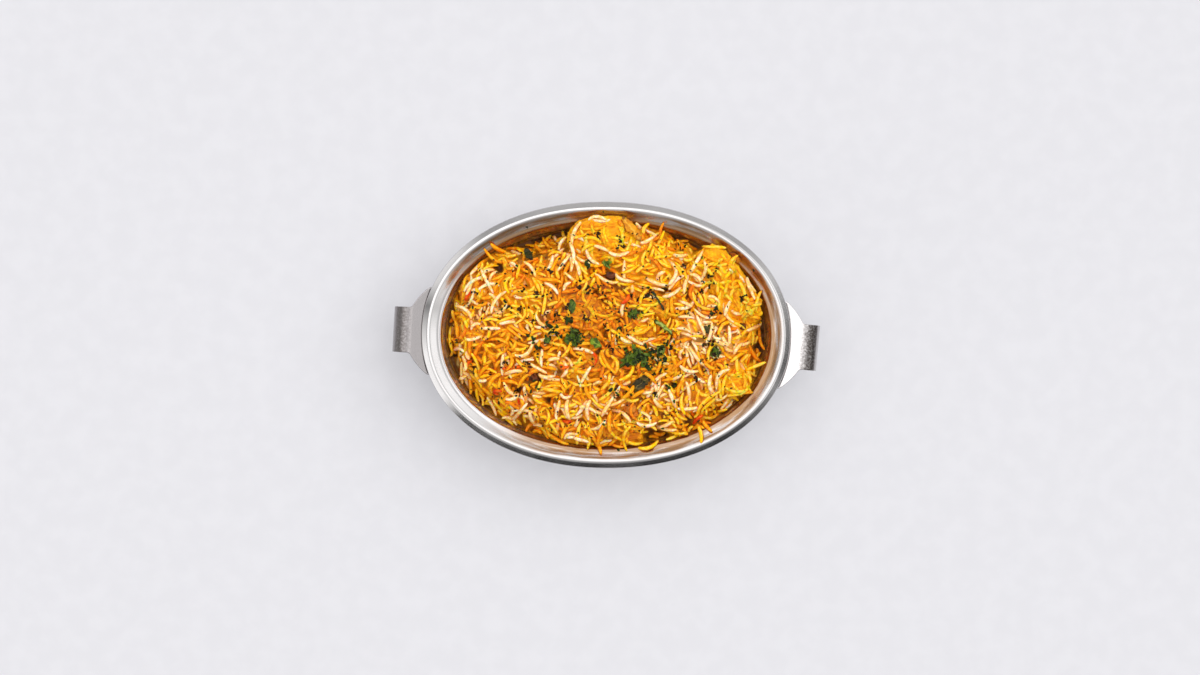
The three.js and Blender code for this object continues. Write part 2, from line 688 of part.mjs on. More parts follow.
// Grains spread evenly over the heap, longest first. One that would meet the dish or a
// topping is turned, moved and shortened, and skipped when it still doesn't fit.
function spreadGrains(core, blockers) {
  const random = seededRandom(29);
  const golden = Math.PI * (3 - Math.sqrt(5));
  const [halfX, halfY] = [RIM.halfLength - GRAIN.margin, RIM.halfWidth - GRAIN.margin];
  const tryGrain = (site, length) => {
    const share = Math.sqrt((site % GRAIN.sites + 0.5) / GRAIN.sites);
    const x = halfX * share * Math.cos(site * golden) + GRAIN.drift * (random() - 0.5);
    const y = halfY * share * Math.sin(site * golden) + GRAIN.drift * (random() - 0.5);
    const turn = random() * Math.PI;
    const [dx, dy] = [length / 2 * Math.cos(turn), length / 2 * Math.sin(turn)];
    const from = surfacePoint(x - dx, y - dy, lerp(...GRAIN.endLift, random()));
    const to = surfacePoint(x + dx, y + dy, lerp(...GRAIN.endLift, random()));
    const width = GRAIN.width * lerp(0.9, 1.1, random());
    const grain = grainSolid(from, to, width, lerp(-GRAIN.bend, GRAIN.bend, random()));
    const rooted = grain.intersect(core).volume() > GRAIN.rooted * grain.volume();
    const clear = clearOfGap(from) && clearOfGap(to) && grain.intersect(blockers).isEmpty();
    return rooted && clear ? grain : null;
  };
  const lengths = Array.from({ length: GRAIN.sites }, () => (
    lerp(GRAIN.shortest, GRAIN.longest, random()))).sort((a, b) => b - a);
  return lengths.flatMap((length, i) => {
    for (let attempt = 0; attempt < GRAIN.tries; attempt += 1) {
      const grain = tryGrain(i * GRAIN.stride, length * (1 - 0.08 * attempt));
      if (grain) return [grain];
    }
    return [];
  });
}

// Long grains whose outer end hangs over the ledge, raised until they clear the steel.
function overhangingGrains(dish, blockers) {
  const grains = [];
  for (const { from, to } of OVERHANGS) {
    const inner = surfacePoint(...from, -0.6);
    for (let lift = 0; lift < 5; lift += 0.5) {
      const outer = new THREE.Vector3(...to, restHeight(dish, ...to, 1.5) + 1.6 + lift);
      const grain = grainSolid(inner, outer, GRAIN.width, 0.05);
      if (grain.intersect(blockers).isEmpty()) {
        grains.push(grain);
        break;
      }
    }
  }
  return grains;
}

function fleckSolid([x, y], i) {
  const geometry = new THREE.OctahedronGeometry(FLECK_RADIUS, 0);
  geometry.scale(1, 0.7, 0.6);
  geometry.rotateZ(i * 1.3);
  geometry.translate(x, y, heapHeight(x, y) + 0.4);
  return toSolid(geometry);
}

// ---------------------------------------------------------------------------------------
// The whole
// ---------------------------------------------------------------------------------------

function makeMesh(name, geometry) {
  const mesh = new THREE.Mesh(geometry, materialFor(name));
  mesh.name = name;
  mesh.updateMatrixWorld();
  return mesh;
}

const dishMesh = makeMesh("dish", dishGeometry(0));
const handleMeshes = Object.entries(HANDLE_LINES).map(([name, { turn, shift }]) => {
  const mesh = makeMesh(name, handleGeometry(degToRad(turn), shift));
  mesh.rotation.z = degToRad(turn);
  return mesh;
});

// Each chunk is cut back from the dish and from the chunks before it, and the heap from all.
const dishClearance = toSolid(dishGeometry(GAP));
const pockets = [];
const lumpMeshes = LUMPS.map((lump, i) => {
  const whole = toSolid(lumpGeometry(lump, 100 + i)).subtract(dishClearance);
  const solid = largestBody(pockets.reduce((body, pocket) => body.subtract(pocket), whole));
  pockets.push(grown(solid, GAP * 1.3));
  return makeMesh(lump.name, toGeometry(solid));
});
const bareHeap = toSolid(heapGeometry());
const core = largestBody(pockets.reduce((body, pocket) => body.subtract(pocket), bareHeap));

// Leaves and stalks lie on what is under them.
const grounds = [dishMesh, ...lumpMeshes, makeMesh("core", toGeometry(core))];
const toppingMeshes = [
  ...LEAVES.map((leaf) => makeMesh(leaf.name, leafGeometry(leaf, grounds))),
  ...SPRIGS.map((sprig) => makeMesh(sprig.name, sprigGeometry(sprig, grounds))),
  ...STALKS.map((stalk) => makeMesh(stalk.name, stalkGeometry(stalk, grounds))),
];
const toppingClearances = toppingMeshes.map((mesh) => grown(toSolid(mesh.geometry), GAP * 1.3));
const blockers = wasm.Manifold.union([dishClearance, ...pockets, ...toppingClearances]);
const loose = [
  ...spreadGrains(core, blockers),
  ...overhangingGrains([dishMesh], blockers),
  ...FLECKS.map(fleckSolid).filter((fleck) => fleck.intersect(blockers).isEmpty()),
];
const riceMesh = makeMesh("rice", toGeometry(largestBody(wasm.Manifold.union([core, ...loose]))));

const dish = new THREE.Group();
dish.add(dishMesh, ...handleMeshes);
const food = new THREE.Group();
food.add(riceMesh, ...lumpMeshes, ...toppingMeshes);
const biryani = new THREE.Group();
biryani.add(dish, food);

export default biryani;
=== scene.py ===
# %% [markdown]
# # Biryani in an oval steel dish
# A pressed steel serving dish, 200 mm long, holds a heap of saffron rice with chicken, fried
# onion and coriander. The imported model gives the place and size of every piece. This lesson
# gives each one its real surface, and lays loose grains of rice over the heap.

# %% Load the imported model
import math

import bmesh
import bpy
import numpy as np
from mathutils import Matrix, Vector, noise
from mathutils.bvhtree import BVHTree


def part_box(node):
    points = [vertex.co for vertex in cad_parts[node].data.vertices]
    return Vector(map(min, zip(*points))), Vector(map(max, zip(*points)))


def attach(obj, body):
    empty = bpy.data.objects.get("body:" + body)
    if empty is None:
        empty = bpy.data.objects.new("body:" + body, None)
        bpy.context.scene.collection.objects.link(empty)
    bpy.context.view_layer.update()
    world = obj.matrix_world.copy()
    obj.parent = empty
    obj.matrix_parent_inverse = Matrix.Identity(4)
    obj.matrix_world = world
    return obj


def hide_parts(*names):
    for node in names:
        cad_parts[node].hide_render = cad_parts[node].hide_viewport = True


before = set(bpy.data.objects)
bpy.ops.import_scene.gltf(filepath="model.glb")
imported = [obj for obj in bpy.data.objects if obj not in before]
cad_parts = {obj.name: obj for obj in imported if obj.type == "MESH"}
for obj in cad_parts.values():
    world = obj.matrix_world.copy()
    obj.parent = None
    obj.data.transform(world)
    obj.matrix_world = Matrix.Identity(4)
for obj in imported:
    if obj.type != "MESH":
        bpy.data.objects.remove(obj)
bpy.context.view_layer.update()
scene = bpy.context.scene
MM = 0.001                      # sizes below are in millimetres, and meshes in metres
_, dish_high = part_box("dish")
HALF_LENGTH, HALF_WIDTH, HEIGHT = [side / MM for side in dish_high]
print(f"{len(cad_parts)} nodes; rim {2 * HALF_LENGTH:.1f} by {2 * HALF_WIDTH:.1f} mm")

# %% [markdown]
# ## Camera, light and floor
# The dish is seen from straight above. Polished steel shows little of its own colour: its
# bands are pictures of what stands round it. So the light is a world made of two things: a
# bright panel overhead that reaches far to the back, and a room round the table that is
# brighter in some directions than in others. The panel is dimmer straight overhead, as where
# somebody leans over a table. A wide sun from the right adds the soft shadows between the
# grains and beside the dish. The floor is a plain pale sheet that glows a little, as a light
# table does.

# %% Camera
PICTURE = (1200, 675)           # pixels
PIXEL = 0.5425                  # millimetres that a pixel covers at the rim
RIM_MIDDLE = (606, 335)         # pixel of the dish's middle
RIM_TURN = math.radians(0.53)   # the dish is turned clockwise in the picture by this
CAMERA_HEIGHT = 1300            # over the floor
SENSOR = 36                     # width of the camera's sensor


def add_camera():
    """A camera straight above, a little beside the dish's middle and turned a little."""
    right = (PICTURE[0] / 2 - RIM_MIDDLE[0]) * PIXEL
    up = (RIM_MIDDLE[1] - PICTURE[1] / 2) * PIXEL
    place = Matrix.Rotation(RIM_TURN, 2) @ Vector((right, up))
    data = bpy.data.cameras.new("camera")
    data.sensor_width = SENSOR
    data.lens = SENSOR * (CAMERA_HEIGHT - HEIGHT) / (PICTURE[0] * PIXEL)
    camera = bpy.data.objects.new("camera", data)
    camera.location = (place.x * MM, place.y * MM, CAMERA_HEIGHT * MM)
    camera.rotation_euler = (0, 0, RIM_TURN)
    scene.collection.objects.link(camera)
    scene.camera = camera
    return camera


camera = add_camera()
scene.view_settings.view_transform = "Standard"
print(f"camera {CAMERA_HEIGHT} mm above the floor, lens {camera.data.lens:.1f} mm")

# %% [markdown]
# Node trees are long to write by hand, so small helpers build them: one adds a node and fills
# or links its sockets, and the others add what comes back most, such as a piece of arithmetic, a
# smooth step or a noise. All materials start from the same few lines too.

# %% Helpers for node trees
def put(tree, kind, inputs=None, **settings):
    """Add a node. Each input is a value, or the output of another node."""
    node = tree.nodes.new(kind)
    for name, value in settings.items():
        setattr(node, name, value)
    for name, value in (inputs or {}).items():
        if isinstance(value, bpy.types.NodeSocket):
            tree.links.new(value, node.inputs[name])
        else:
            node.inputs[name].default_value = value
    return node


def calc(tree, operation, *values):
    """The result of one step of arithmetic."""
    return put(tree, "ShaderNodeMath", dict(enumerate(values)), operation=operation).outputs[0]


def remap(tree, value, low, high, to_low=0.0, to_high=1.0):
    """A smooth step from one range to another."""
    inputs = {0: value, 1: low, 2: high, 3: to_low, 4: to_high}
    node = put(tree, "ShaderNodeMapRange", inputs, interpolation_type="SMOOTHSTEP")
    return node.outputs[0]


def blend_colours(tree, share, first, second, kind="MIX"):
    """A mix of two colours. Sockets 6 and 7 are the colour ones of the Mix node."""
    node = put(tree, "ShaderNodeMix", {0: share, 6: first, 7: second}, data_type="RGBA")
    node.blend_type = kind
    return node.outputs[2]


def parts(tree, vector):
    """The three parts of a vector."""
    return put(tree, "ShaderNodeSeparateXYZ", {0: vector}).outputs


def clouds(tree, place, scale, detail, distortion=0.0):
    """Smooth noise from 0 to 1."""
    inputs = {"Vector": place, "Scale": scale, "Detail": detail, "Distortion": distortion}
    return put(tree, "ShaderNodeTexNoise", inputs).outputs[0]


# %% Helpers for materials
def new_material(name, **values):
    """A material with its main values set. Gives it, its tree, its shader and a point's place."""
    material = bpy.data.materials.new(name)
    material.use_nodes = True
    tree = material.node_tree
    shader = tree.nodes["Principled BSDF"]
    for label, value in values.items():
        shader.inputs[label.replace("_", " ")].default_value = value
    return material, tree, shader, put(tree, "ShaderNodeTexCoord").outputs["Object"]


def use_group(tree, group, **inputs):
    return put(tree, "ShaderNodeGroup", inputs, node_tree=group).outputs


def bump(tree, shader, height, depth, strength=1.0):
    """Small relief: depth is in millimetres."""
    node = put(tree, "ShaderNodeBump", {"Height": height, "Distance": depth * MM, "Strength": strength})
    tree.links.new(node.outputs[0], shader.inputs["Normal"])


def read(tree, name):
    """The value that a mesh keeps for each of its points."""
    return put(tree, "ShaderNodeAttribute", attribute_name=name).outputs["Fac"]


# %% World, sun and floor
PANEL_BRIGHT = 1.72
PANEL_TINT = (1, 0.985, 0.985)
PANEL_SIDES = (-1.0, 0.22)      # its left and right edges, as slopes from straight up
PANEL_ENDS = (-0.1, 1.3)        # its front and back edges
PANEL_FADE = 0.4                # each edge fades over this
HORIZON = 0.02                  # slopes are worked out from this sine of the height up
SHADE = (0.06, 0.24)            # slopes between which the shade straight overhead ends
SHADE_LIGHT = 0.55              # how much of the panel's light is left in it
LOW_ROOM = [    # direction in degrees, counted from the right, and the room's brightness there
    (0, 0.13), (16, 0.32), (32, 0.68), (50, 0.46), (76, 0.58), (104, 0.6), (122, 0.4), (138, 1.05),
    (154, 0.95), (166, 0.28), (178, 0.85), (190, 1.35), (214, 1.35), (226, 0.14), (244, 0.04),
    (300, 0.04), (318, 0.1), (332, 0.34), (346, 0.13), (360, 0.13)]
ROOM = [        # the same, higher up
    (0, 1.3), (34, 1.4), (60, 1.05), (75, 0.85), (90, 0.35), (105, 0.5), (120, 0.6), (135, 0.4),
    (150, 0.7), (165, 0.4), (180, 0.5), (195, 0.8), (225, 1.1), (240, 0.55), (285, 0.4), (300, 0.33),
    (315, 0.45), (332, 1.1), (345, 0.8), (360, 1.3)]
LOW_EDGE = (0.34, 0.43)         # sines of the heights between which the two meet
CEILING = (0.65, 0.65, 0.65, 1)
CEILING_EDGE = (0.62, 0.78)
BACKDROP = (0.80, 0.79, 0.83, 1)
SUN_POWER = 1.25
SUN_WIDTH = math.radians(60)
SUN_WAY = (-0.6, -0.2, -1)      # where its light goes
FLOOR_REACH = 8000
FLOOR_COLOURS = ((0.413, 0.413, 0.43, 1), (0.432, 0.432, 0.449, 1))
FLOOR_FIBRES = 90               # how fine they are
FIBRE_EDGES = (0.35, 0.7)       # values of the noise between which one colour gives way to the other
FLOOR_GLOW = (0.252, 0.249, 0.262, 1)


def brightness_round(tree, x, y, directions):
    """Brightness by direction round the table."""
    turn = calc(tree, "DIVIDE", calc(tree, "ARCTAN2", y, x), 2 * math.pi)
    ramp = put(tree, "ShaderNodeValToRGB", {"Fac": calc(tree, "FRACT", calc(tree, "ADD", turn, 1))})
    stops = ramp.color_ramp.elements
    for degrees, _ in directions[1:-1]:
        stops.new(degrees / 360)
    for stop, (degrees, bright) in zip(stops, directions):
        stop.position = degrees / 360
        stop.color = (bright, bright, bright, 1)
    return ramp.outputs["Color"]


def panel_light(tree, x, y, z):
    """How much of the panel's light comes from a direction."""
    high = calc(tree, "MAXIMUM", z, HORIZON)
    along, deep = calc(tree, "DIVIDE", x, high), calc(tree, "DIVIDE", y, high)
    share = 1.0
    for slope, (first, last) in ((along, PANEL_SIDES), (deep, PANEL_ENDS)):
        starts = remap(tree, slope, first - PANEL_FADE, first)
        ends = remap(tree, slope, last, last + PANEL_FADE, 1, 0)
        share = calc(tree, "MULTIPLY", share, calc(tree, "MULTIPLY", starts, ends))
    off = calc(tree, "SQRT", calc(tree, "MULTIPLY_ADD", along, along, calc(tree, "MULTIPLY", deep, deep)))
    return calc(tree, "MULTIPLY", share, remap(tree, off, *SHADE, SHADE_LIGHT, 1))


def room_light(tree, x, y, z):
    """The room's light by direction, with the ceiling over it."""
    room = blend_colours(tree, remap(tree, z, *LOW_EDGE), brightness_round(tree, x, y, LOW_ROOM),
                         brightness_round(tree, x, y, ROOM))
    return blend_colours(tree, remap(tree, z, *CEILING_EDGE), room, CEILING)


def studio_world():
    """The world that lights the dish. The camera itself sees a plain backdrop."""
    world = bpy.data.worlds.new("studio")
    world.use_nodes = True
    tree = world.node_tree
    tree.nodes.clear()
    x, y, z = parts(tree, put(tree, "ShaderNodeTexCoord").outputs["Generated"])
    panel_colour = (*[PANEL_BRIGHT * part for part in PANEL_TINT], 1)
    colour = blend_colours(tree, panel_light(tree, x, y, z), room_light(tree, x, y, z), panel_colour)
    light = put(tree, "ShaderNodeBackground", {"Color": colour, "Strength": 1})
    backdrop = put(tree, "ShaderNodeBackground", {"Color": BACKDROP, "Strength": 1})
    seen = put(tree, "ShaderNodeLightPath").outputs["Is Camera Ray"]
    mix = put(tree, "ShaderNodeMixShader", {0: seen, 1: light.outputs[0], 2: backdrop.outputs[0]})
    put(tree, "ShaderNodeOutputWorld", {"Surface": mix.outputs[0]})
    return world


def add_sun():
    data = bpy.data.lights.new("sun", "SUN")
    data.energy = SUN_POWER
    data.angle = SUN_WIDTH
    sun = bpy.data.objects.new("sun", data)
    sun.rotation_euler = Vector(SUN_WAY).to_track_quat("-Z", "Y").to_euler()
    sun.visible_glossy = False      # polished steel would show it as a hot spot
    scene.collection.objects.link(sun)


def paper_floor():
    """A wide pale sheet that glows a little. It is part of the stage, not of the model."""
    material, tree, shader, place = new_material(
        "floor_paper", Roughness=0.8, Specular_IOR_Level=0.1, Emission_Color=FLOOR_GLOW,
        Emission_Strength=1)
    share = remap(tree, clouds(tree, place, FLOOR_FIBRES, 6), *FIBRE_EDGES)
    tree.links.new(blend_colours(tree, share, *FLOOR_COLOURS), shader.inputs["Base Color"])
    mesh = bpy.data.meshes.new("floor")
    reach = FLOOR_REACH * MM
    mesh.from_pydata([(-reach, -reach, 0), (reach, -reach, 0), (reach, reach, 0), (-reach, reach, 0)],
                     [], [(0, 1, 2, 3)])
    mesh.materials.append(material)
    floor = bpy.data.objects.new("floor", mesh)
    scene.collection.objects.link(floor)
    return floor


scene.world = studio_world()
add_sun()
floor = paper_floor()
print("studio: world, sun and", floor.name)

# %% [markdown]
# ## Meshes from node trees
# The dish, the grains and the flecks all follow a rule, so Geometry Nodes make them. Each tree
# takes its sizes as named inputs and ends in Realize Instances and Set Material. The result is
# then kept as a plain mesh, so that nothing about it can change later.

# %% Helpers for Geometry Nodes and pieces
def new_tree(name, **inputs):
    """A Geometry Nodes tree with a geometry input and the named ones. Gives the tree and its inputs."""
    tree = bpy.data.node_groups.new(name, "GeometryNodeTree")
    tree.interface.new_socket("Geometry", in_out="INPUT", socket_type="NodeSocketGeometry")
    for label, (kind, value) in inputs.items():
        socket = tree.interface.new_socket(
            label.replace("_", " "), in_out="INPUT", socket_type="NodeSocket" + kind)
        if value is not None:
            socket.default_value = value
    tree.interface.new_socket("Geometry", in_out="OUTPUT", socket_type="NodeSocketGeometry")
    return tree, put(tree, "NodeGroupInput").outputs


def end_tree(tree, geometry, material):
    """Smooth the faces, realize what is instanced and give it the material."""
    smooth = put(tree, "GeometryNodeSetShadeSmooth", {"Geometry": geometry})
    real = put(tree, "GeometryNodeRealizeInstances", {"Geometry": smooth.outputs[0]})
    inputs = {"Geometry": real.outputs[0], "Material": material}
    painted = put(tree, "GeometryNodeSetMaterial", inputs)
    put(tree, "NodeGroupOutput", {"Geometry": painted.outputs[0]})
    return tree


def kept_value(tree, name, kind="FLOAT"):
    """What a mesh keeps for each of its points, in a Geometry Nodes tree."""
    return put(tree, "GeometryNodeInputNamedAttribute", {"Name": name}, data_type=kind).outputs[0]


def new_piece(name, mesh):
    piece = bpy.data.objects.new(name, mesh)
    scene.collection.objects.link(piece)
    return piece


def grow(name, mesh, tree, **values):
    """Run a tree on a mesh and keep the result as a plain mesh."""
    piece = new_piece(name, mesh)
    modifier = piece.modifiers.new("shape", "NODES")
    modifier.node_group = tree
    identifiers = {item.name: item.identifier for item in tree.interface.items_tree
                   if item.in_out == "INPUT"}
    for label, value in values.items():
        modifier[identifiers[label.replace("_", " ")]] = value
    return settle(piece)


def settle(piece):
    """Replace a piece's mesh by what its modifiers make of it."""
    shown = piece.evaluated_get(bpy.context.evaluated_depsgraph_get())
    mesh = bpy.data.meshes.new_from_object(shown)
    piece.modifiers.clear()
    piece.data = mesh
    mesh.name = piece.name
    return piece


def serve(piece, slot, *nodes):
    """Make a finished piece part of the model, in place of the named nodes."""
    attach(piece, "root")
    if nodes:
        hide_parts(*nodes)
    faces = sum(len(polygon.vertices) - 2 for polygon in piece.data.polygons)
    print(f"{piece.name}: {faces} triangles")
    return piece


def shade_smooth(mesh):
    mesh.polygons.foreach_set("use_smooth", [True] * len(mesh.polygons))


def store(mesh, name, values, kind="FLOAT"):
    """Keep one value for each point of a mesh."""
    attribute = mesh.attributes.new(name, kind, "POINT")
    field = {"FLOAT": "value", "FLOAT_VECTOR": "vector"}[kind]
    attribute.data.foreach_set(field, np.asarray(values, np.float32).ravel())


# %% [markdown]
# ## Surfaces that several materials share
# Two effects come back in many materials. Steel and oily food both have a gloss that varies
# from spot to spot, and all the food has colours that run into each other. Each effect is a
# node group, built once: a material places it with its own scale and colours.

# %% Shader groups: mottled colour and uneven gloss
RUN_EDGES = (0.38, 0.62)        # values of the noise between which the colours run into each other
SPECK_EDGES = (0.64, 0.7)
SPECK_FINENESS = 3.1            # specks are this much finer than the patches of colour
GLOSS_EDGES = (0.36, 0.64)


def shader_group(name, inputs, outputs):
    group = bpy.data.node_groups.new(name, "ShaderNodeTree")
    for label, (kind, value) in inputs.items():
        socket = group.interface.new_socket(label, in_out="INPUT", socket_type="NodeSocket" + kind)
        if value is not None:
            socket.default_value = value
    for label, kind in outputs.items():
        group.interface.new_socket(label, in_out="OUTPUT", socket_type="NodeSocket" + kind)
    return group, put(group, "NodeGroupInput").outputs


def mottle_group():
    """Two colours that run into each other, with small dark specks of spice."""
    group, given = shader_group(
        "mottle",
        {"Vector": ("Vector", None), "First": ("Color", (1, 1, 1, 1)), "Second": ("Color", (1, 1, 1, 1)),
         "Scale": ("Float", 200), "Speck": ("Color", (0.1, 0.03, 0.01, 1)), "Specks": ("Float", 0.3)},
        {"Color": "Color", "Height": "Float"})
    cloud = clouds(group, given["Vector"], given["Scale"], 4, distortion=0.6)
    run = blend_colours(group, remap(group, cloud, *RUN_EDGES), given["First"], given["Second"])
    dots = clouds(group, given["Vector"], calc(group, "MULTIPLY", given["Scale"], SPECK_FINENESS), 2)
    mask = calc(group, "MULTIPLY", remap(group, dots, *SPECK_EDGES), given["Specks"])
    speckled = blend_colours(group, mask, run, given["Speck"])
    height = calc(group, "ADD", cloud, calc(group, "MULTIPLY", dots, 0.4))
    put(group, "NodeGroupOutput", {"Color": speckled, "Height": height})
    return group


def gloss_group():
    """Roughness that varies between two limits, as where oil lies on a surface."""
    group, given = shader_group(
        "gloss",
        {"Vector": ("Vector", None), "Scale": ("Float", 60), "Smooth": ("Float", 0.2),
         "Rough": ("Float", 0.5)},
        {"Roughness": "Float", "Height": "Float"})
    cloud = clouds(group, given["Vector"], given["Scale"], 5)
    share = remap(group, cloud, *GLOSS_EDGES)
    spread = calc(group, "SUBTRACT", given["Rough"], given["Smooth"])
    rough = calc(group, "MULTIPLY_ADD", share, spread, given["Smooth"])
    put(group, "NodeGroupOutput", {"Roughness": rough, "Height": cloud})
    return group


MOTTLE = mottle_group()
GLOSS = gloss_group()
print("groups:", MOTTLE.name, GLOSS.name)

# %% [markdown]
# ## Steel
# The dish is bright stainless steel. Polishing has left hair lines that run round the rim, and
# hands and cloths have left dull smears. A brown film lies on the wall above the rice and all
# over the ledge, and in streaks on the slope up to the crest: partly dried curry oil, and partly
# a painted reflection of the food in the steel. The left end is wiped clean. Lines and streaks
# read the distance across the profile, which the dish's mesh keeps for each point, so they
# follow the oval with no seam. The rolls of the handles are dull and dark in patches. The left
# handle's steel is darker all over, as painted shade: its reflections are dimmed to match the
# darker part of the room that it faces.

# %% Steel materials
STEEL = (0.70, 0.68, 0.675, 1)
# painted shade: the left handle's steel is darker, so that its reflections are as dim as the darker part
# of the room that it faces
SHADED_STEEL = (0.40, 0.38, 0.38, 1)
# painted reflection, in part: the two browns of the film stand partly for dried oil and partly for the
# food that the steel reflects
WALL_FILM_AND_REFLECTION = (0.58, 0.31, 0.05, 1)
RIM_FILM_AND_REFLECTION = (0.36, 0.21, 0.105, 1)
FILM_FROM, FILM_TO = 42.0, 37.5     # heights between which the film on the wall sets in
FILM_IN, FILM_FULL = -0.2, 2.2      # distances from the crest between which the rim's film sets in
LEDGE_FROM, LEDGE_TO = 4.5, 6       # and between which it closes, on the ledge
FILM_LEAST, LEDGE_LEAST = 0.3, 0.85     # how thick it is between the streaks
STREAKS = 11                        # how fine the rim's streaks are, across it
DROPS = 140                         # how fine the patches on the wall are
DROP_LEAST, DROP_MORE = 0.3, 0.55   # how thick the film is between them, and how much more in them
SPOTS = 900                         # how fine the mottles of scale are
STREAK_EDGES = (0.36, 0.6)          # values of the noise between which a streak sets in
DROP_EDGES, SPOT_EDGES = (0.42, 0.6), (0.3, 0.6)    # the same for patches and for mottles
CLEAN_WAY = (-0.966, -0.259)        # from the middle towards the end that is wiped clean
CLEAN_EDGE = (0.6, 0.86)            # cosines of the angles from that way where the film ends
FILM_ROUGH, ROLL_PATCH_ROUGH = 0.16, 0.3     # roughness that each of them adds
ROLL_PATCH_COLOUR = (0.062, 0.048, 0.04, 1)
ROLL_FROM, ROLL_TO = 30, 39         # distance along a handle's strip over which the dark patches set in
ROLL_CLEAN = (42, 45)               # and over which it ends again, where the roll turns down
ROLL_PATCH_RAGGED = 8                    # width of its ragged edge


def masked(tree, mask, share):
    return calc(tree, "MULTIPLY", mask, share)


def rim_film_and_reflection(tree, place):
    """Streaks of brown along the rim's inner side, all but the clean end: partly oil, partly a painted
    reflection of the food.
    """
    x, y, _ = parts(tree, place)
    forward = calc(tree, "MULTIPLY_ADD", x, CLEAN_WAY[0], calc(tree, "MULTIPLY", y, CLEAN_WAY[1]))
    far = put(tree, "ShaderNodeVectorMath", {0: place}, operation="LENGTH").outputs["Value"]
    dirty = remap(tree, calc(tree, "DIVIDE", forward, far), *CLEAN_EDGE, 1, 0)
    across = read(tree, "across")
    streaks = put(tree, "ShaderNodeTexNoise", {
        "Vector": place, "W": calc(tree, "MULTIPLY", across, STREAKS), "Scale": 60, "Detail": 3},
        noise_dimensions="4D").outputs[0]
    inner = masked(tree, remap(tree, across, FILM_IN * MM, FILM_FULL * MM), dirty)
    least = remap(tree, across, LEDGE_FROM * MM, LEDGE_TO * MM, FILM_LEAST, LEDGE_LEAST)
    return masked(tree, inner, remap(tree, streaks, *STREAK_EDGES, least, 1))


def wall_film_and_reflection(tree, place):
    """A brown film on the inside of the lower wall, in runs and patches: partly oil, partly a painted
    reflection of the food.
    """
    height = parts(tree, place)["Z"]
    inside = remap(tree, read(tree, "across"), 0, 1 * MM)
    depth = masked(tree, inside, remap(tree, height, FILM_TO * MM, FILM_FROM * MM, 1, 0))
    drops = remap(tree, clouds(tree, place, DROPS, 4), *DROP_EDGES)
    return masked(tree, depth, calc(tree, "MULTIPLY_ADD", drops, DROP_MORE, DROP_LEAST))


def roll_patch_mask(tree, place, amount):
    """The roll is darker and duller in fine mottles, with a ragged edge."""
    across = read(tree, "across")
    spots = clouds(tree, place, SPOTS, 6)
    shift = calc(tree, "MULTIPLY_ADD", spots, ROLL_PATCH_RAGGED * MM, -ROLL_PATCH_RAGGED / 2 * MM)
    roll = remap(tree, calc(tree, "ADD", across, shift), ROLL_FROM * MM, ROLL_TO * MM)
    kept = remap(tree, across, ROLL_CLEAN[0] * MM, ROLL_CLEAN[1] * MM, 1, 0.3)
    mottled = masked(tree, remap(tree, spots, *SPOT_EDGES, 0.7, 1), amount)
    return masked(tree, masked(tree, roll, kept), mottled)


def steel_material(name, lines, film_and_reflection=False, scale=0.0, steel=STEEL):
    """Brushed steel with hair lines across the profile, and on it a brown film (partly oil, partly a
    painted reflection of the food) or a share of dark, dull patches.
    """
    material, tree, shader, place = new_material(name, Metallic=1.0)
    smears = use_group(tree, GLOSS, Vector=place, Scale=34, Smooth=0.08, Rough=0.19)
    across = calc(tree, "MULTIPLY", read(tree, "across"), lines)
    hair = put(tree, "ShaderNodeTexNoise", {"W": across, "Scale": 1, "Detail": 3},
               noise_dimensions="1D").outputs[0]
    tree.links.new(smears["Roughness"], shader.inputs["Roughness"])
    bump(tree, shader, hair, 0.02, 0.5)
    shader.inputs["Base Color"].default_value = steel
    if film_and_reflection:
        on_rim, on_wall = rim_film_and_reflection(tree, place), wall_film_and_reflection(tree, place)
        rim = blend_colours(tree, on_rim, STEEL, RIM_FILM_AND_REFLECTION)
        tree.links.new(blend_colours(tree, on_wall, rim, WALL_FILM_AND_REFLECTION), shader.inputs["Base Color"])
        tree.links.new(calc(tree, "MULTIPLY_ADD", on_wall, -0.7, 1), shader.inputs["Metallic"])
        dull = calc(tree, "MAXIMUM", on_rim, on_wall)
        rough = calc(tree, "ADD", smears["Roughness"], masked(tree, dull, FILM_ROUGH))
        tree.links.new(rough, shader.inputs["Roughness"])
    # darker, duller mottled patches on the handle's roll
    if scale:
        mask = roll_patch_mask(tree, place, scale)
        tree.links.new(blend_colours(tree, mask, steel, ROLL_PATCH_COLOUR), shader.inputs["Base Color"])
        rough = calc(tree, "ADD", smears["Roughness"], masked(tree, mask, ROLL_PATCH_ROUGH))
        tree.links.new(rough, shader.inputs["Roughness"])
    return material


DISH_STEEL = steel_material("dish_steel", lines=9000, film_and_reflection=True)
HANDLE_STEEL = {
    "handle_left": steel_material("handle_steel_left", lines=5000, scale=0.7, steel=SHADED_STEEL),
    "handle_right": steel_material("handle_steel_right", lines=5000, scale=0.95),
}
print("materials:", DISH_STEEL.name, *[material.name for material in HANDLE_STEEL.values()])

# %% [markdown]
# ## The dish
# The dish is one pressed sheet: a sloping flange, a rounded crest, a short steep slope, a
# narrow ledge for a lid, a nearly upright wall and a rounded foot. Every section across it is
# the same, drawn round an oval that is a little squarer than an ellipse. It could be spun and
# stretched, but then the width of the rim would differ between the sides and the ends. So a
# tree sweeps the profile round the oval by its formula: each point of the profile keeps its
# own inset from the outer edge.

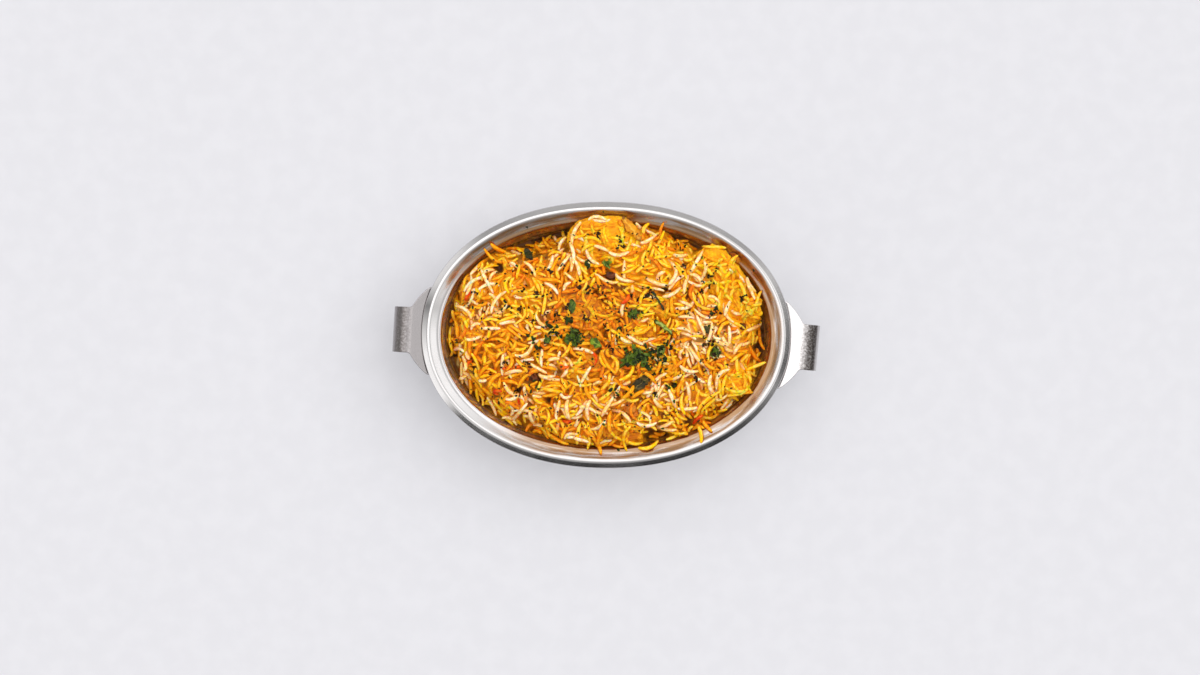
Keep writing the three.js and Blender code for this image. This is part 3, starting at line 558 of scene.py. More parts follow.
# %% Profile of the dish
OVAL_POWER = 2.1
SHEET = 1.0
RIM_FACE = [(0.0, 2.2), (3.1, 0.0), (4.3, 0.0), (8.1, 2.4), (10.5, 2.85), (11.4, 6.6)]   # inset, drop
CREST = 3.7                     # inset of the crest, where the distance across starts
CORNER_REACH = 1.1              # how far a corner's curve reaches along its sides
FLANGE_EDGE = 0.08              # a point this far along the flange keeps it flat when shaded
WALL_TAPER = 0.16               # inset that the wall gains for each millimetre down
FOOT_RADIUS = 12
OVAL_SIDES = 256
WALL_TOP = HEIGHT - RIM_FACE[-1][1]


def wall_inset(z):
    return RIM_FACE[-1][0] + (WALL_TOP - z) * WALL_TAPER


def rounded(points, reach, steps=4):
    """The same outline with a short curve at each of its inner corners."""
    points = np.array(points, float)
    outline = [points[0]]
    for before, corner, after in zip(points, points[1:], points[2:]):
        back, ahead = before - corner, after - corner
        start = corner + back * min(reach / np.linalg.norm(back), 0.45)
        end = corner + ahead * min(reach / np.linalg.norm(ahead), 0.45)
        for t in np.linspace(0, 1, steps + 1):
            outline.append((1 - t) ** 2 * start + 2 * t * (1 - t) * corner + t * t * end)
    return np.array(outline + [points[-1]])


def foot_arc(steps=10):
    lean = math.atan(WALL_TAPER)
    middle_z = SHEET + FOOT_RADIUS
    middle_inset = wall_inset(middle_z) + FOOT_RADIUS / math.cos(lean)
    turns = np.linspace(lean, math.pi / 2, steps)
    return [(middle_inset - FOOT_RADIUS * math.cos(turn), middle_z - FOOT_RADIUS * math.sin(turn))
            for turn in turns]


def dish_profile():
    """Inset, share of the ring that is kept, and height, from the floor's middle to the underside's."""
    face = rounded([(inset, HEIGHT - drop) for inset, drop in RIM_FACE], CORNER_REACH)
    face = np.insert(face, 1, face[0] + FLANGE_EDGE * (face[1] - face[0]), axis=0)
    face = np.array(list(face) + foot_arc())
    along = np.gradient(face, axis=0)
    along /= np.linalg.norm(along, axis=1)[:, None]
    back = face + SHEET * np.stack([along[:, 1], -along[:, 0]], 1)
    edge_middle = (face[0] + back[0]) / 2
    edge = edge_middle + SHEET / 2 * np.array([[-0.7, 0.72], [-1, 0], [-0.7, -0.72]]) * (1, 0.8)
    outline = np.concatenate([face[::-1], edge, back])
    ring = [(inset, 1, z) for inset, z in outline]
    middle = [(outline[0][0], share, outline[0][1]) for share in (0, 0.3, 0.7)]
    under = [(outline[-1][0], share, outline[-1][1]) for share in (0.7, 0.3, 0)]
    return np.array(middle + ring + under)


profile = dish_profile()
print(f"dish profile of {len(profile)} points")

# %% Tree that sweeps a profile round the oval
def oval_tree():
    """A grid with a row for each point of the profile, wrapped round the oval."""
    tree, given = new_tree(
        "sweep round the oval", Half_Length=("Float", 0.1), Half_Width=("Float", 0.07),
        Power=("Float", 2.0), Points=("Int", 8), Sides=("Int", 64), Material=("Material", None))
    columns = calc(tree, "ADD", given["Sides"], 1)
    grid = put(tree, "GeometryNodeMeshGrid", {
        "Size X": 1, "Size Y": 1, "Vertices X": given["Points"], "Vertices Y": columns})
    here = put(tree, "GeometryNodeInputPosition").outputs[0]
    u, v, _ = parts(tree, here)
    last = calc(tree, "SUBTRACT", given["Points"], 1)
    row = calc(tree, "ROUND", calc(tree, "MULTIPLY", calc(tree, "ADD", u, 0.5), last))
    turn = calc(tree, "MULTIPLY", calc(tree, "ADD", v, 0.5), 2 * math.pi)

    def sampled(kind, value):
        inputs = {"Geometry": given["Geometry"], "Value": value, "Index": row}
        return put(tree, "GeometryNodeSampleIndex", inputs, data_type=kind, domain="POINT").outputs[0]

    inset, share, height = parts(tree, sampled("FLOAT_VECTOR", here))

    def reach(half, wave):
        bent = calc(tree, "POWER", calc(tree, "ABSOLUTE", wave), calc(tree, "DIVIDE", 2, given["Power"]))
        side = calc(tree, "MULTIPLY", bent, calc(tree, "SIGN", wave))
        full = calc(tree, "MULTIPLY", calc(tree, "SUBTRACT", half, inset), side)
        return calc(tree, "MULTIPLY", full, share)

    x = reach(given["Half Length"], calc(tree, "COSINE", turn))
    y = reach(given["Half Width"], calc(tree, "SINE", turn))
    where = put(tree, "ShaderNodeCombineXYZ", {0: x, 1: y, 2: height}).outputs[0]
    across = sampled("FLOAT", kept_value(tree, "across"))
    kept = put(tree, "GeometryNodeStoreNamedAttribute", {
        "Geometry": grid.outputs[0], "Name": "across", "Value": across},
        data_type="FLOAT", domain="POINT")
    moved = put(tree, "GeometryNodeSetPosition", {"Geometry": kept.outputs[0], "Position": where})
    closed = put(tree, "GeometryNodeMergeByDistance", {"Geometry": moved.outputs[0], "Distance": 1e-6})
    return end_tree(tree, closed.outputs[0], given["Material"])


def volume(mesh):
    """The signed volume, in cubic centimetres: above zero where the faces point outwards."""
    shape = bmesh.new()
    shape.from_mesh(mesh)
    size = shape.calc_volume(signed=True) * 1e6
    shape.free()
    return size


def make_dish():
    """The dish, with each point's distance across the profile kept from the crest inwards."""
    mesh = bpy.data.meshes.new("dish profile")
    mesh.from_pydata([tuple(point) for point in profile * (MM, 1, MM)], [], [])
    steps = np.linalg.norm(np.diff(profile[:, [0, 2]], axis=0), axis=1)
    along = np.concatenate([[0], np.cumsum(steps)])
    crest = np.abs(profile[:, 0] - CREST) + HEIGHT - profile[:, 2]
    store(mesh, "across", (along[crest.argmin()] - along) * MM)
    piece = grow("dish_body", mesh, oval_tree(), Half_Length=HALF_LENGTH * MM,
                 Half_Width=HALF_WIDTH * MM, Power=OVAL_POWER, Points=len(profile), Sides=OVAL_SIDES,
                 Material=DISH_STEEL)
    if volume(piece.data) < 0:
        piece.data.flip_normals()
    return serve(piece, "steel", "dish")


dish = make_dish()
print(f"steel of the dish: {volume(dish.data):.1f} cubic centimetres")

# %% [markdown]
# ## The handles
# Each handle is a strip of thicker sheet. It is welded to the wall, comes out under the rim,
# narrows and ends in a roll that curls down. A flat pattern could be bent with a Curve
# modifier, but its inner edge has to follow the oval wall. So a grid is laid station by
# station along the strip, smoothed by Subdivision Surface, given its thickness by Solidify and
# its soft edges by Bevel.

# %% Handles
HANDLE_SHEET = 1.5
BASE_HALF, CURL_HALF = 24.6, 12.4       # half widths at the rim and at the roll
CURL_START = 106.5                      # distance from the dish's middle
CURL_RADIUS = 8 - HANDLE_SHEET / 2
CURL_END = -110                         # degrees, measured from straight out
TAB_SLOPE = math.radians(14)
TAB_DROP = 5                            # the tab's middle lies this far under the crest
WELD = (11, 19)                         # drop of the flange that is welded to the wall
WELD_GAP = 0.6
TAB_BENDS = ((9.1, 1.2), (7.6, 0))      # inset of the rows between the weld and the tab, and drop
STRIP_STEP = 2.5                        # distance along the strip from one row to the next
HANDLE_LINES = {        # the way it points, in degrees, and how far its line misses the middle
    "handle_left": (177.3, 3.2),
    "handle_right": (-4.7, 3.3),
}


def oval_reach(inset, beside, turn):
    """How far out the oval lies, at a distance beside the handle's own line."""
    near, far = 0.0, 2 * HALF_LENGTH
    for _ in range(40):
        reach = (near + far) / 2
        x = reach * math.cos(turn) - beside * math.sin(turn)
        y = reach * math.sin(turn) + beside * math.cos(turn)
        edge = abs(x / (HALF_LENGTH - inset)) ** OVAL_POWER + abs(y / (HALF_WIDTH - inset)) ** OVAL_POWER
        near, far = (reach, far) if edge < 1 else (near, reach)
    return near


def handle_rows(turn, shift, columns=13):
    """Rows of points across the strip, from the weld on the wall to the end of the roll."""
    rows = []

    def across(half):
        return shift + half * np.linspace(-1, 1, columns)

    def tab_height(reach):
        return HEIGHT - TAB_DROP + (reach - HALF_LENGTH) * math.tan(TAB_SLOPE)

    for drop in (WELD[1], WELD[1] - 1, 15, WELD[0] + 1, WELD[0]):
        inset = wall_inset(HEIGHT - drop) - SHEET - WELD_GAP - HANDLE_SHEET / 2
        rows.append([(oval_reach(inset, beside, turn), beside, HEIGHT - drop)
                     for beside in across(BASE_HALF)])
    for inset, lower in TAB_BENDS:
        reaches = [oval_reach(inset, beside, turn) for beside in across(BASE_HALF)]
        rows.append([(reach, beside, tab_height(reach) - lower)
                     for reach, beside in zip(reaches, across(BASE_HALF))])
    for share in np.linspace(0, 1, 7):
        sides = across(BASE_HALF + (CURL_HALF - BASE_HALF) * share)
        reaches = [(1 - share) * oval_reach(-1, beside, turn) + share * CURL_START for beside in sides]
        rows.append([(reach, beside, tab_height(reach)) for reach, beside in zip(reaches, sides)])
    middle = (CURL_START + CURL_RADIUS * math.sin(TAB_SLOPE),
              tab_height(CURL_START) - CURL_RADIUS * math.cos(TAB_SLOPE))
    for angle in np.radians(np.linspace(90 + math.degrees(TAB_SLOPE), CURL_END, 15)[1:]):
        reach = middle[0] + CURL_RADIUS * math.cos(angle)
        rows.append([(reach, beside, middle[1] + CURL_RADIUS * math.sin(angle))
                     for beside in across(CURL_HALF)])
    return np.array(rows)


def make_handle(name, degrees, shift):
    """A strip laid along its rows, then turned to its place."""
    turn = math.radians(degrees)
    rows = handle_rows(turn, shift)
    count, columns = rows.shape[:2]
    faces = [(i * columns + j, (i + 1) * columns + j, (i + 1) * columns + j + 1, i * columns + j + 1)
             for i in range(count - 1) for j in range(columns - 1)]
    mesh = bpy.data.meshes.new(name)
    mesh.from_pydata([tuple(point) for point in rows.reshape(-1, 3) * MM], [], faces)
    store(mesh, "across", np.repeat(np.arange(count) * STRIP_STEP, columns) * MM)
    mesh.transform(Matrix.Rotation(turn, 4, "Z"))
    mesh.materials.append(HANDLE_STEEL[name])
    piece = new_piece(name + "_strip", mesh)
    smooth = piece.modifiers.new("smooth", "SUBSURF")
    smooth.levels = smooth.render_levels = 2
    smooth.boundary_smooth = "PRESERVE_CORNERS"
    sheet = piece.modifiers.new("sheet", "SOLIDIFY")
    sheet.thickness = HANDLE_SHEET * MM
    sheet.offset = 0
    soft = piece.modifiers.new("soft edges", "BEVEL")
    soft.width = 0.3 * MM
    soft.segments = 2
    soft.limit_method = "ANGLE"
    settle(piece)
    shade_smooth(piece.data)
    return serve(piece, "steel", name)


for name, line in HANDLE_LINES.items():
    make_handle(name, *line)

# %% [markdown]
# ## The heap
# The heap is a dome that reaches the wall, with places where the food leaves the wall free. Its
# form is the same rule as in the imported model. What shows is grains, half sunk in a moist bed
# of broken rice, oil and spice. Grains painted on a bed would look flat, and grains alone would
# show dark gaps. So the grains are laid first, and the bed is then poured in round them.

# %% Form of the heap
CROWN, BROW, EDGE = 55.5, 42.5, 38.2    # heights: middle, dome at the wall, edge at the wall
ROUNDNESS, SHOULDER, EDGE_FALL = 2.3, 8, 0.9
GAP_SHARE = 0.9                         # share of a gap's width that is quite free
FOOD_ROOM = 0.3                         # space between the food and the dish
WALL_GAPS = [(118, 25, 8.6), (186, 26, 4.6), (222, 20, 3.6), (4, 24, 5.2),
             (48, 11, 4.4), (328, 12, 3), (297, 7, 3.2)]    # degrees, half span, width


def smooth_step(value, low, high):
    t = np.clip((value - low) / (high - low), 0, 1)
    return t * t * (3 - 2 * t)


def wall_gap(x, y):
    """Width of the free space at the wall, in this direction from the middle."""
    angle = np.degrees(np.arctan2(y, x))
    width = np.zeros_like(angle)
    for at, span, wide in WALL_GAPS:
        away = np.abs((angle - at + 180) % 360 - 180)
        width = width + wide * (1 - smooth_step(away / span, 0.55, 1.25))
    return width


def place_in_oval(x, y, z=EDGE):
    """The share of the way from the middle to the wall at a height, and the distance that is left."""
    inset = wall_inset(z) + FOOD_ROOM
    share = (np.abs(x / (HALF_LENGTH - inset)) ** OVAL_POWER
             + np.abs(y / (HALF_WIDTH - inset)) ** OVAL_POWER) ** (1 / OVAL_POWER)
    reach = np.hypot(x, y) / np.maximum(share, 1e-6)
    return share, (1 - share) * np.where(share > 1e-3, reach, HALF_WIDTH)


def heap_height(x, y):
    """Height of the bare heap."""
    share, inward = place_in_oval(x, y)
    dome = CROWN + (BROW - CROWN) * np.minimum(share, 1) ** ROUNDNESS
    gap = GAP_SHARE * wall_gap(x, y)
    climb = smooth_step(inward, gap, gap + SHOULDER)
    edge = EDGE - EDGE_FALL * wall_gap(x, y)
    return edge + (dome - edge) * climb


print(f"heap {heap_height(np.array(0.0), np.array(0.0)):.1f} mm high in the middle")

# %% Materials of the food
CREASE_SHADE = (0.80, 0.50, 0.35, 1)          # painted shade: what is left of the colours in a crease
CREASE_DEEP, CREASE_END = -0.6, 0.1     # relief at which it is darkest, and where it ends
CREASE_SHARE = 0.75
LIGHT_IN_FOOD = (1.0, 0.4, 0.1)         # red light goes furthest into it


def food_material(name, first, second, scale, specks=0.0, speck=(0.06, 0.02, 0.008, 1), depth=0.4,
                  gloss=(0.38, 0.62), glow=0.3):
    """Moist food of two colours that run into each other, with painted shade darkening its creases."""
    material, tree, shader, place = new_material(
        name, Specular_IOR_Level=0.14, Subsurface_Weight=glow, Subsurface_Radius=LIGHT_IN_FOOD,
        Subsurface_Scale=1.5 * MM)
    colours = use_group(tree, MOTTLE, Vector=place, First=first, Second=second, Scale=scale,
                        Speck=speck, Specks=specks)
    wet = use_group(tree, GLOSS, Vector=place, Scale=scale * 0.8, Smooth=gloss[0], Rough=gloss[1])
    crease = remap(tree, read(tree, "relief"), CREASE_DEEP, CREASE_END, CREASE_SHARE, 0)
    crease_shaded = blend_colours(tree, crease, colours["Color"], CREASE_SHADE, "MULTIPLY")
    tree.links.new(crease_shaded, shader.inputs["Base Color"])
    tree.links.new(wet["Roughness"], shader.inputs["Roughness"])
    bump(tree, shader, colours["Height"], depth, 0.8)
    return material


CHICKEN_YELLOW = food_material(
    "chicken_yellow", (0.88, 0.47, 0.008, 1), (0.77, 0.31, 0.006, 1), 230, 0.25, (0.50, 0.16, 0.006, 1))
CHICKEN_ORANGE = food_material(
    "chicken_orange", (0.76, 0.31, 0.006, 1), (0.50, 0.14, 0.005, 1), 260, 0.7)
MASALA = food_material("masala", (0.62, 0.24, 0.01, 1), (0.32, 0.09, 0.006, 1), 260, 0.8)
ONION = food_material("onion_brown", (0.20, 0.06, 0.015, 1), (0.06, 0.018, 0.01, 1), 190,
                      gloss=(0.15, 0.4), glow=0)
ONION_PALE = food_material("onion_pale", (0.50, 0.36, 0.12, 1), (0.36, 0.25, 0.07, 1), 160,
                           gloss=(0.15, 0.4))
GLAZED = food_material("onion_glazed", (0.60, 0.22, 0.02, 1), (0.33, 0.09, 0.01, 1), 150,
                       gloss=(0.12, 0.3))
print("food:", CHICKEN_YELLOW.name, CHICKEN_ORANGE.name, MASALA.name, ONION.name, ONION_PALE.name,
      GLAZED.name)

# %% [markdown]
# ## Chicken, onion and spice
# The chunks lie half sunk in the rice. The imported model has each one's form in flat facets. Real
# meat has rounded edges, fibres and a crust of spice. So a copy of each node is merged, remeshed
# to an even fine grid and smoothed. Its points are then moved in and out by noise of three
# sizes, drawn out along the meat's fibres. The finer two are ridged, as torn meat is. Sculpting
# by hand would do as well, but the rule is quicker for twenty chunks. The list also says how
# much of a chunk the grains will cover.

# %% Chunks
CHUNKS = {      # material, slot, relief, covered share, direction of the fibres in degrees
    "chicken_yellow": (CHICKEN_YELLOW, "chicken_yellow", 1.0, 1.3, 10),
    "chicken_right": (CHICKEN_YELLOW, "chicken_yellow", 1.2, 1.9, -55),
    "chicken_left": (CHICKEN_ORANGE, "chicken_orange", 1.2, 1.4, 60),
    "chicken_center": (CHICKEN_ORANGE, "chicken_orange", 1.1, 2.0, 20),
    "chicken_mid": (CHICKEN_ORANGE, "chicken_orange", 1.0, 1.6, -30),
    "chicken_low": (CHICKEN_ORANGE, "chicken_orange", 1.1, 2.0, 15),
    "chicken_bottom": (CHICKEN_ORANGE, "chicken_orange", 1.0, 1.1, 70),
    "chicken_right_low": (CHICKEN_YELLOW, "chicken_yellow", 1.1, 1.8, 20),
    "chicken_gold": (CHICKEN_YELLOW, "chicken_yellow", 0.8, 0.8, 0),
    "chicken_small": (CHICKEN_ORANGE, "chicken_orange", 0.8, 1.6, 0),
    "chicken_strip": (CHICKEN_ORANGE, "chicken_orange", 0.8, 1.3, 0),
    "chicken_edge": (CHICKEN_ORANGE, "chicken_orange", 0.8, 1.0, 0),
    "chicken_wedge": (CHICKEN_YELLOW, "chicken_yellow", 0.5, 0.8, 0),
    "masala_left": (MASALA, "masala", 1.1, 1.6, 90),
    "onion_brown": (GLAZED, "onion", 0.8, 0.7, 40),
    "onion_fried": (ONION, "onion", 1.5, 0.5, -50),
    "onion_red": (ONION, "onion", 0.4, 0.6, 0),
    "onion_pale": (ONION_PALE, "onion_pale", 0.3, 0.3, 0),
    "crisp": (MASALA, "masala", 0.6, 0.2, 0),
    "raisin": (ONION, "onion", 0.3, 0.5, 0),
}
RELIEF_SIZES = ((6.0, 0.9, 0), (2.8, 0.75, 1), (1.3, 0.35, 1))      # wavelength, depth, ridged or not
FIBRE_STRETCH = 2.6
NOISE_PER_WAVE = 1.7            # steps of the noise in one wavelength
NOISES_APART = 37               # how far apart two pieces read the noise
RIDGE_TOP, RIDGE_FALL = 0.4, 2  # height of a ridge, and how steeply it falls
LARGE_CHUNK = 12                # a chunk that is longer than this has the coarser grid
GRIDS = {"large": (0.5, 12), "small": (0.4, 6)}     # cell of the grid, rounds of smoothing


def merged_copy(node):
    """A copy of a node's mesh as one closed surface."""
    shape = bmesh.new()
    shape.from_mesh(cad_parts[node].data)
    bmesh.ops.remove_doubles(shape, verts=shape.verts, dist=1e-7)
    mesh = bpy.data.meshes.new(node)
    shape.to_mesh(mesh)
    shape.free()
    mesh.materials.clear()
    return mesh


def points_of(mesh):
    """The mesh's points in millimetres."""
    points = np.empty(len(mesh.vertices) * 3)
    mesh.vertices.foreach_get("co", points)
    return points.reshape(-1, 3) / MM


def move_points(mesh, points):
    mesh.vertices.foreach_set("co", (points * MM).ravel())
    mesh.update()


def roughen(mesh, amount, sizes=RELIEF_SIZES, seed=0, fibres=0.0):
    """Move each point along its normal by noise of several sizes."""
    points = points_of(mesh)
    normals = np.empty(points.size)
    mesh.vertex_normals.foreach_get("vector", normals)
    c, s = math.cos(math.radians(fibres)), math.sin(math.radians(fibres))
    along = (points[:, 0] * c + points[:, 1] * s) / FIBRE_STRETCH
    turned = np.stack([along, points[:, 1] * c - points[:, 0] * s, points[:, 2]], 1)
    push = np.zeros(len(points))
    for size, depth, ridged in sizes:
        places = turned / size * NOISE_PER_WAVE + (0, 0, NOISES_APART * seed)
        wave = np.array([noise.noise(place) for place in places])
        push += depth * (RIDGE_TOP - RIDGE_FALL * np.abs(wave) if ridged else wave)
    store(mesh, "relief", push)
    points += normals.reshape(-1, 3) * (push * amount)[:, None]
    move_points(mesh, points)


def make_chunk(node, material, slot, amount, fibres, seed):
    """A chunk with the node's form and a torn, spiced face."""
    piece = new_piece(node + "_piece", merged_copy(node))
    low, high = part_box(node)
    cell, rounds = GRIDS["large" if (high - low).x > LARGE_CHUNK * MM else "small"]
    grid = piece.modifiers.new("even grid", "REMESH")
    grid.mode = "VOXEL"
    grid.voxel_size = cell * MM
    soft = piece.modifiers.new("soft", "SMOOTH")
    soft.factor = 0.5
    soft.iterations = rounds
    settle(piece)
    roughen(piece.data, amount, seed=seed, fibres=fibres)
    piece.data.materials.append(material)
    shade_smooth(piece.data)
    return serve(piece, slot, node)


chunks = {node: make_chunk(node, material, slot, amount, fibres, seed)
          for seed, (node, (material, slot, amount, _, fibres)) in enumerate(CHUNKS.items())}

# %% [markdown]
# ## Leaves and stalks
# The herbs lie on the rice as thin wilted blades. A single leaf is a copy of its node, smoothed
# by Subdivision Surface and crinkled by noise. It keeps, for each point, how far this lies along
# and beside the leaf's own middle line, so a material can draw a pale vein and darker ends.
# Coriander is a small bunch of lobed leaflets: each is a fan of points with a toothed edge, laid
# at the height of its node and tilted at random.

# %% Materials of the leaves
VEIN_SHARE = 0.8                # how much of the vein's colour shows
END_FROM, END_FULL, END_SHARE = 0.6, 0.95, 0.9      # where a leaf's dark ends set in, and their share


def leaf_material(name, first, second, vein, end, vein_width=0.16, gloss=(0.25, 0.5)):
    """Two colours that run into each other, with a vein and darker ends."""
    material, tree, shader, place = new_material(name, Specular_IOR_Level=0.2)
    colours = use_group(tree, MOTTLE, Vector=place, First=first, Second=second, Scale=300, Specks=0.3,
                        Speck=end)
    beside = calc(tree, "ABSOLUTE", read(tree, "beside"))
    along = calc(tree, "ABSOLUTE", read(tree, "along"))
    veined = blend_colours(tree, remap(tree, beside, 0, vein_width, VEIN_SHARE, 0), colours["Color"], vein)
    ended = blend_colours(tree, remap(tree, along, END_FROM, END_FULL, 0, END_SHARE), veined, end)
    wet = use_group(tree, GLOSS, Vector=place, Scale=200, Smooth=gloss[0], Rough=gloss[1])
    tree.links.new(ended, shader.inputs["Base Color"])
    tree.links.new(wet["Roughness"], shader.inputs["Roughness"])
    bump(tree, shader, colours["Height"], 0.3, 0.6)
    return material


LEAF = leaf_material("leaf", (0.075, 0.13, 0.008, 1), (0.009, 0.016, 0.004, 1),
                     (0.13, 0.19, 0.015, 1), (0.006, 0.010, 0.003, 1))
LEAF_BRIGHT = leaf_material("leaf_bright", (0.17, 0.26, 0.012, 1), (0.04, 0.08, 0.008, 1),
                            (0.28, 0.36, 0.04, 1), (0.02, 0.04, 0.006, 1))
LEAF_DARK = leaf_material("leaf_dark", (0.06, 0.055, 0.014, 1), (0.02, 0.022, 0.008, 1),
                          (0.06, 0.05, 0.015, 1), (0.012, 0.012, 0.006, 1), gloss=(0.15, 0.4))
# the bay leaf's pale middle line is partly its vein and partly a painted highlight, a glint along it
BAY = leaf_material("bay", (0.10, 0.062, 0.006, 1), (0.022, 0.017, 0.004, 1),
                    (0.30, 0.22, 0.06, 1), (0.012, 0.009, 0.004, 1), vein_width=0.1, gloss=(0.1, 0.3))
STEM = leaf_material("stem", (0.22, 0.29, 0.03, 1), (0.09, 0.14, 0.015, 1),
                     (0.42, 0.46, 0.12, 1), (0.015, 0.03, 0.006, 1), vein_width=0.5)
AMBER_STRIP = leaf_material("amber_strip", (0.74, 0.31, 0.008, 1), (0.52, 0.17, 0.006, 1),
                            (0.85, 0.48, 0.06, 1), (0.16, 0.05, 0.008, 1), vein_width=0.3)
print("leaves:", LEAF.name, LEAF_BRIGHT.name, LEAF_DARK.name, BAY.name, STEM.name, AMBER_STRIP.name)

# %% Single leaves
LEAVES = {
    "bay_strip": (BAY, "dark_leaf"),
    "amber_strip": (AMBER_STRIP, "amber"),
    "leaf_bright": (LEAF_BRIGHT, "leaf"),
    "leaf_gray": (LEAF, "leaf"),
    "leaf_left": (LEAF, "leaf"),
    "leaf_light": (STEM, "stem"),
    "leaf_top_left": (LEAF_DARK, "dark_leaf"),
    "leaf_right_thin": (LEAF_DARK, "dark_leaf"),
    "stem": (STEM, "stem"),
    "twig": (LEAF_DARK, "dark_leaf"),
}
LEAF_WAVES = ((3.0, 0.5, 0), (1.1, 0.25, 0))        # wavelength, depth, not ridged
LEAF_WAVINESS = 0.7
TEAR_DEPTH, TEAR_SIZE = 0.9, 1.6        # how far an edge is torn, and over which distance
WAYS_APART = 50                 # how far apart the two directions read the noise


def store_middle_line(mesh):
    """Keep each point's place along and beside the leaf's middle line, from -1 to 1."""
    flat = points_of(mesh)[:, :2]
    flat = flat - (flat.max(0) + flat.min(0)) / 2
    axes = np.linalg.svd(flat, full_matrices=False)[2]
    for name, axis in zip(("along", "beside"), axes):
        places = flat @ axis
        store(mesh, name, places / np.abs(places).max())


def tear(mesh):
    """Move the points sideways by noise, so that the edge of a blade is ragged."""
    points = points_of(mesh)
    places = points / TEAR_SIZE
    for axis in (0, 1):
        shifts = [noise.noise(place) for place in places + (0, 0, axis * WAYS_APART)]
        points[:, axis] += TEAR_DEPTH * np.array(shifts)
    move_points(mesh, points)


def make_leaf(node, material, slot, seed):
    """A wilted blade with the node's form."""
    piece = new_piece(node + "_piece", merged_copy(node))
    smooth = piece.modifiers.new("smooth", "SUBSURF")
    smooth.levels = smooth.render_levels = 3
    settle(piece)
    store_middle_line(piece.data)
    roughen(piece.data, LEAF_WAVINESS, LEAF_WAVES, seed)
    tear(piece.data)
    piece.data.materials.append(material)
    shade_smooth(piece.data)
    return serve(piece, slot, node)


leaves = [make_leaf(node, *look, seed=i) for i, (node, look) in enumerate(LEAVES.items())]

# %% Coriander
SPRIGS = {      # leaflets, their size, how far they spread, material, slot
    "coriander_main": (24, 6.4, 1.0, LEAF, "leaf"),
    "coriander_left": (13, 5.4, 1.0, LEAF, "leaf"),
    "coriander_top": (5, 4.2, 0.9, LEAF_BRIGHT, "stem"),
    "coriander_mid": (9, 4.4, 1.0, LEAF, "dark_leaf"),
    "coriander_right": (7, 4.2, 1.0, LEAF, "dark_leaf"),
}
LEAFLET_SHEET = 0.25
LEAFLET_SIDES = 28
LEAFLET_RINGS = (0.35, 0.7, 1.0)        # shares of the way from the middle to the edge
LEAFLET_STEP = 2.4              # angle from one leaflet to the next, in radians
LEAFLET_SIZES = (0.55, 1.15)    # shares of the sprig's usual size
LEAFLET_WIDTH = 0.75            # beside its length
LEAFLET_TILT = 0.6              # most tilt, in radians
LEAFLET_FOLD, LEAFLET_CUP = 0.35, 0.08  # most slope of its two sides, and depth of its waves
LOBE_FOOT, LOBE_RISE, TOOTH = 0.35, 0.65, 0.2       # where lobes start, their length, their teeth's
SPRIG_SEED = 40
RAYS_FROM = 0.2                 # metres over the floor


def tree_of(mesh):
    """A mesh in the form that rays can be sent at quickly."""
    triangles = [tuple(polygon.vertices) for polygon in mesh.polygons]
    return BVHTree.FromPolygons([vertex.co for vertex in mesh.vertices], triangles)


def height_over(bvh, x, y):
    """Height in millimetres of what lies under a point, or None."""
    hit = bvh.ray_cast(Vector((x * MM, y * MM, RAYS_FROM)), Vector((0, 0, -1)))[0]
    return hit.z / MM if hit else None


def leaflet_points(size, random):
    """Rings of points of a deeply lobed blade, in its own plane."""
    turns = np.linspace(0, 2 * math.pi, LEAFLET_SIDES, endpoint=False)
    lobes = LOBE_FOOT + LOBE_RISE * np.abs(np.cos(1.5 * turns + random.uniform(-0.3, 0.3))) ** 0.8
    teeth = 1 + TOOTH * np.cos(9 * turns + random.uniform(0, 6))
    fold = random.uniform(-LEAFLET_FOLD, LEAFLET_FOLD)
    rings = [np.zeros((1, 3))]
    for share in LEAFLET_RINGS:
        radius = size / 2 * share * (1 + (lobes * teeth - 1) * share)
        x, y = radius * np.cos(turns), LEAFLET_WIDTH * radius * np.sin(turns)
        cup = fold * np.abs(y) + LEAFLET_CUP * size * share ** 2 * np.cos(3 * turns + 1)
        rings.append(np.stack([x, y, cup], 1))
    return np.concatenate(rings)


def leaflet_faces(start, sides=LEAFLET_SIDES):
    faces = [(start, start + 1 + i, start + 1 + (i + 1) % sides) for i in range(sides)]
    for ring in range(len(LEAFLET_RINGS) - 1):
        for i in range(sides):
            a = start + 1 + ring * sides + i
            b = start + 1 + ring * sides + (i + 1) % sides
            faces.append((a, a + sides, b + sides, b))
    return faces


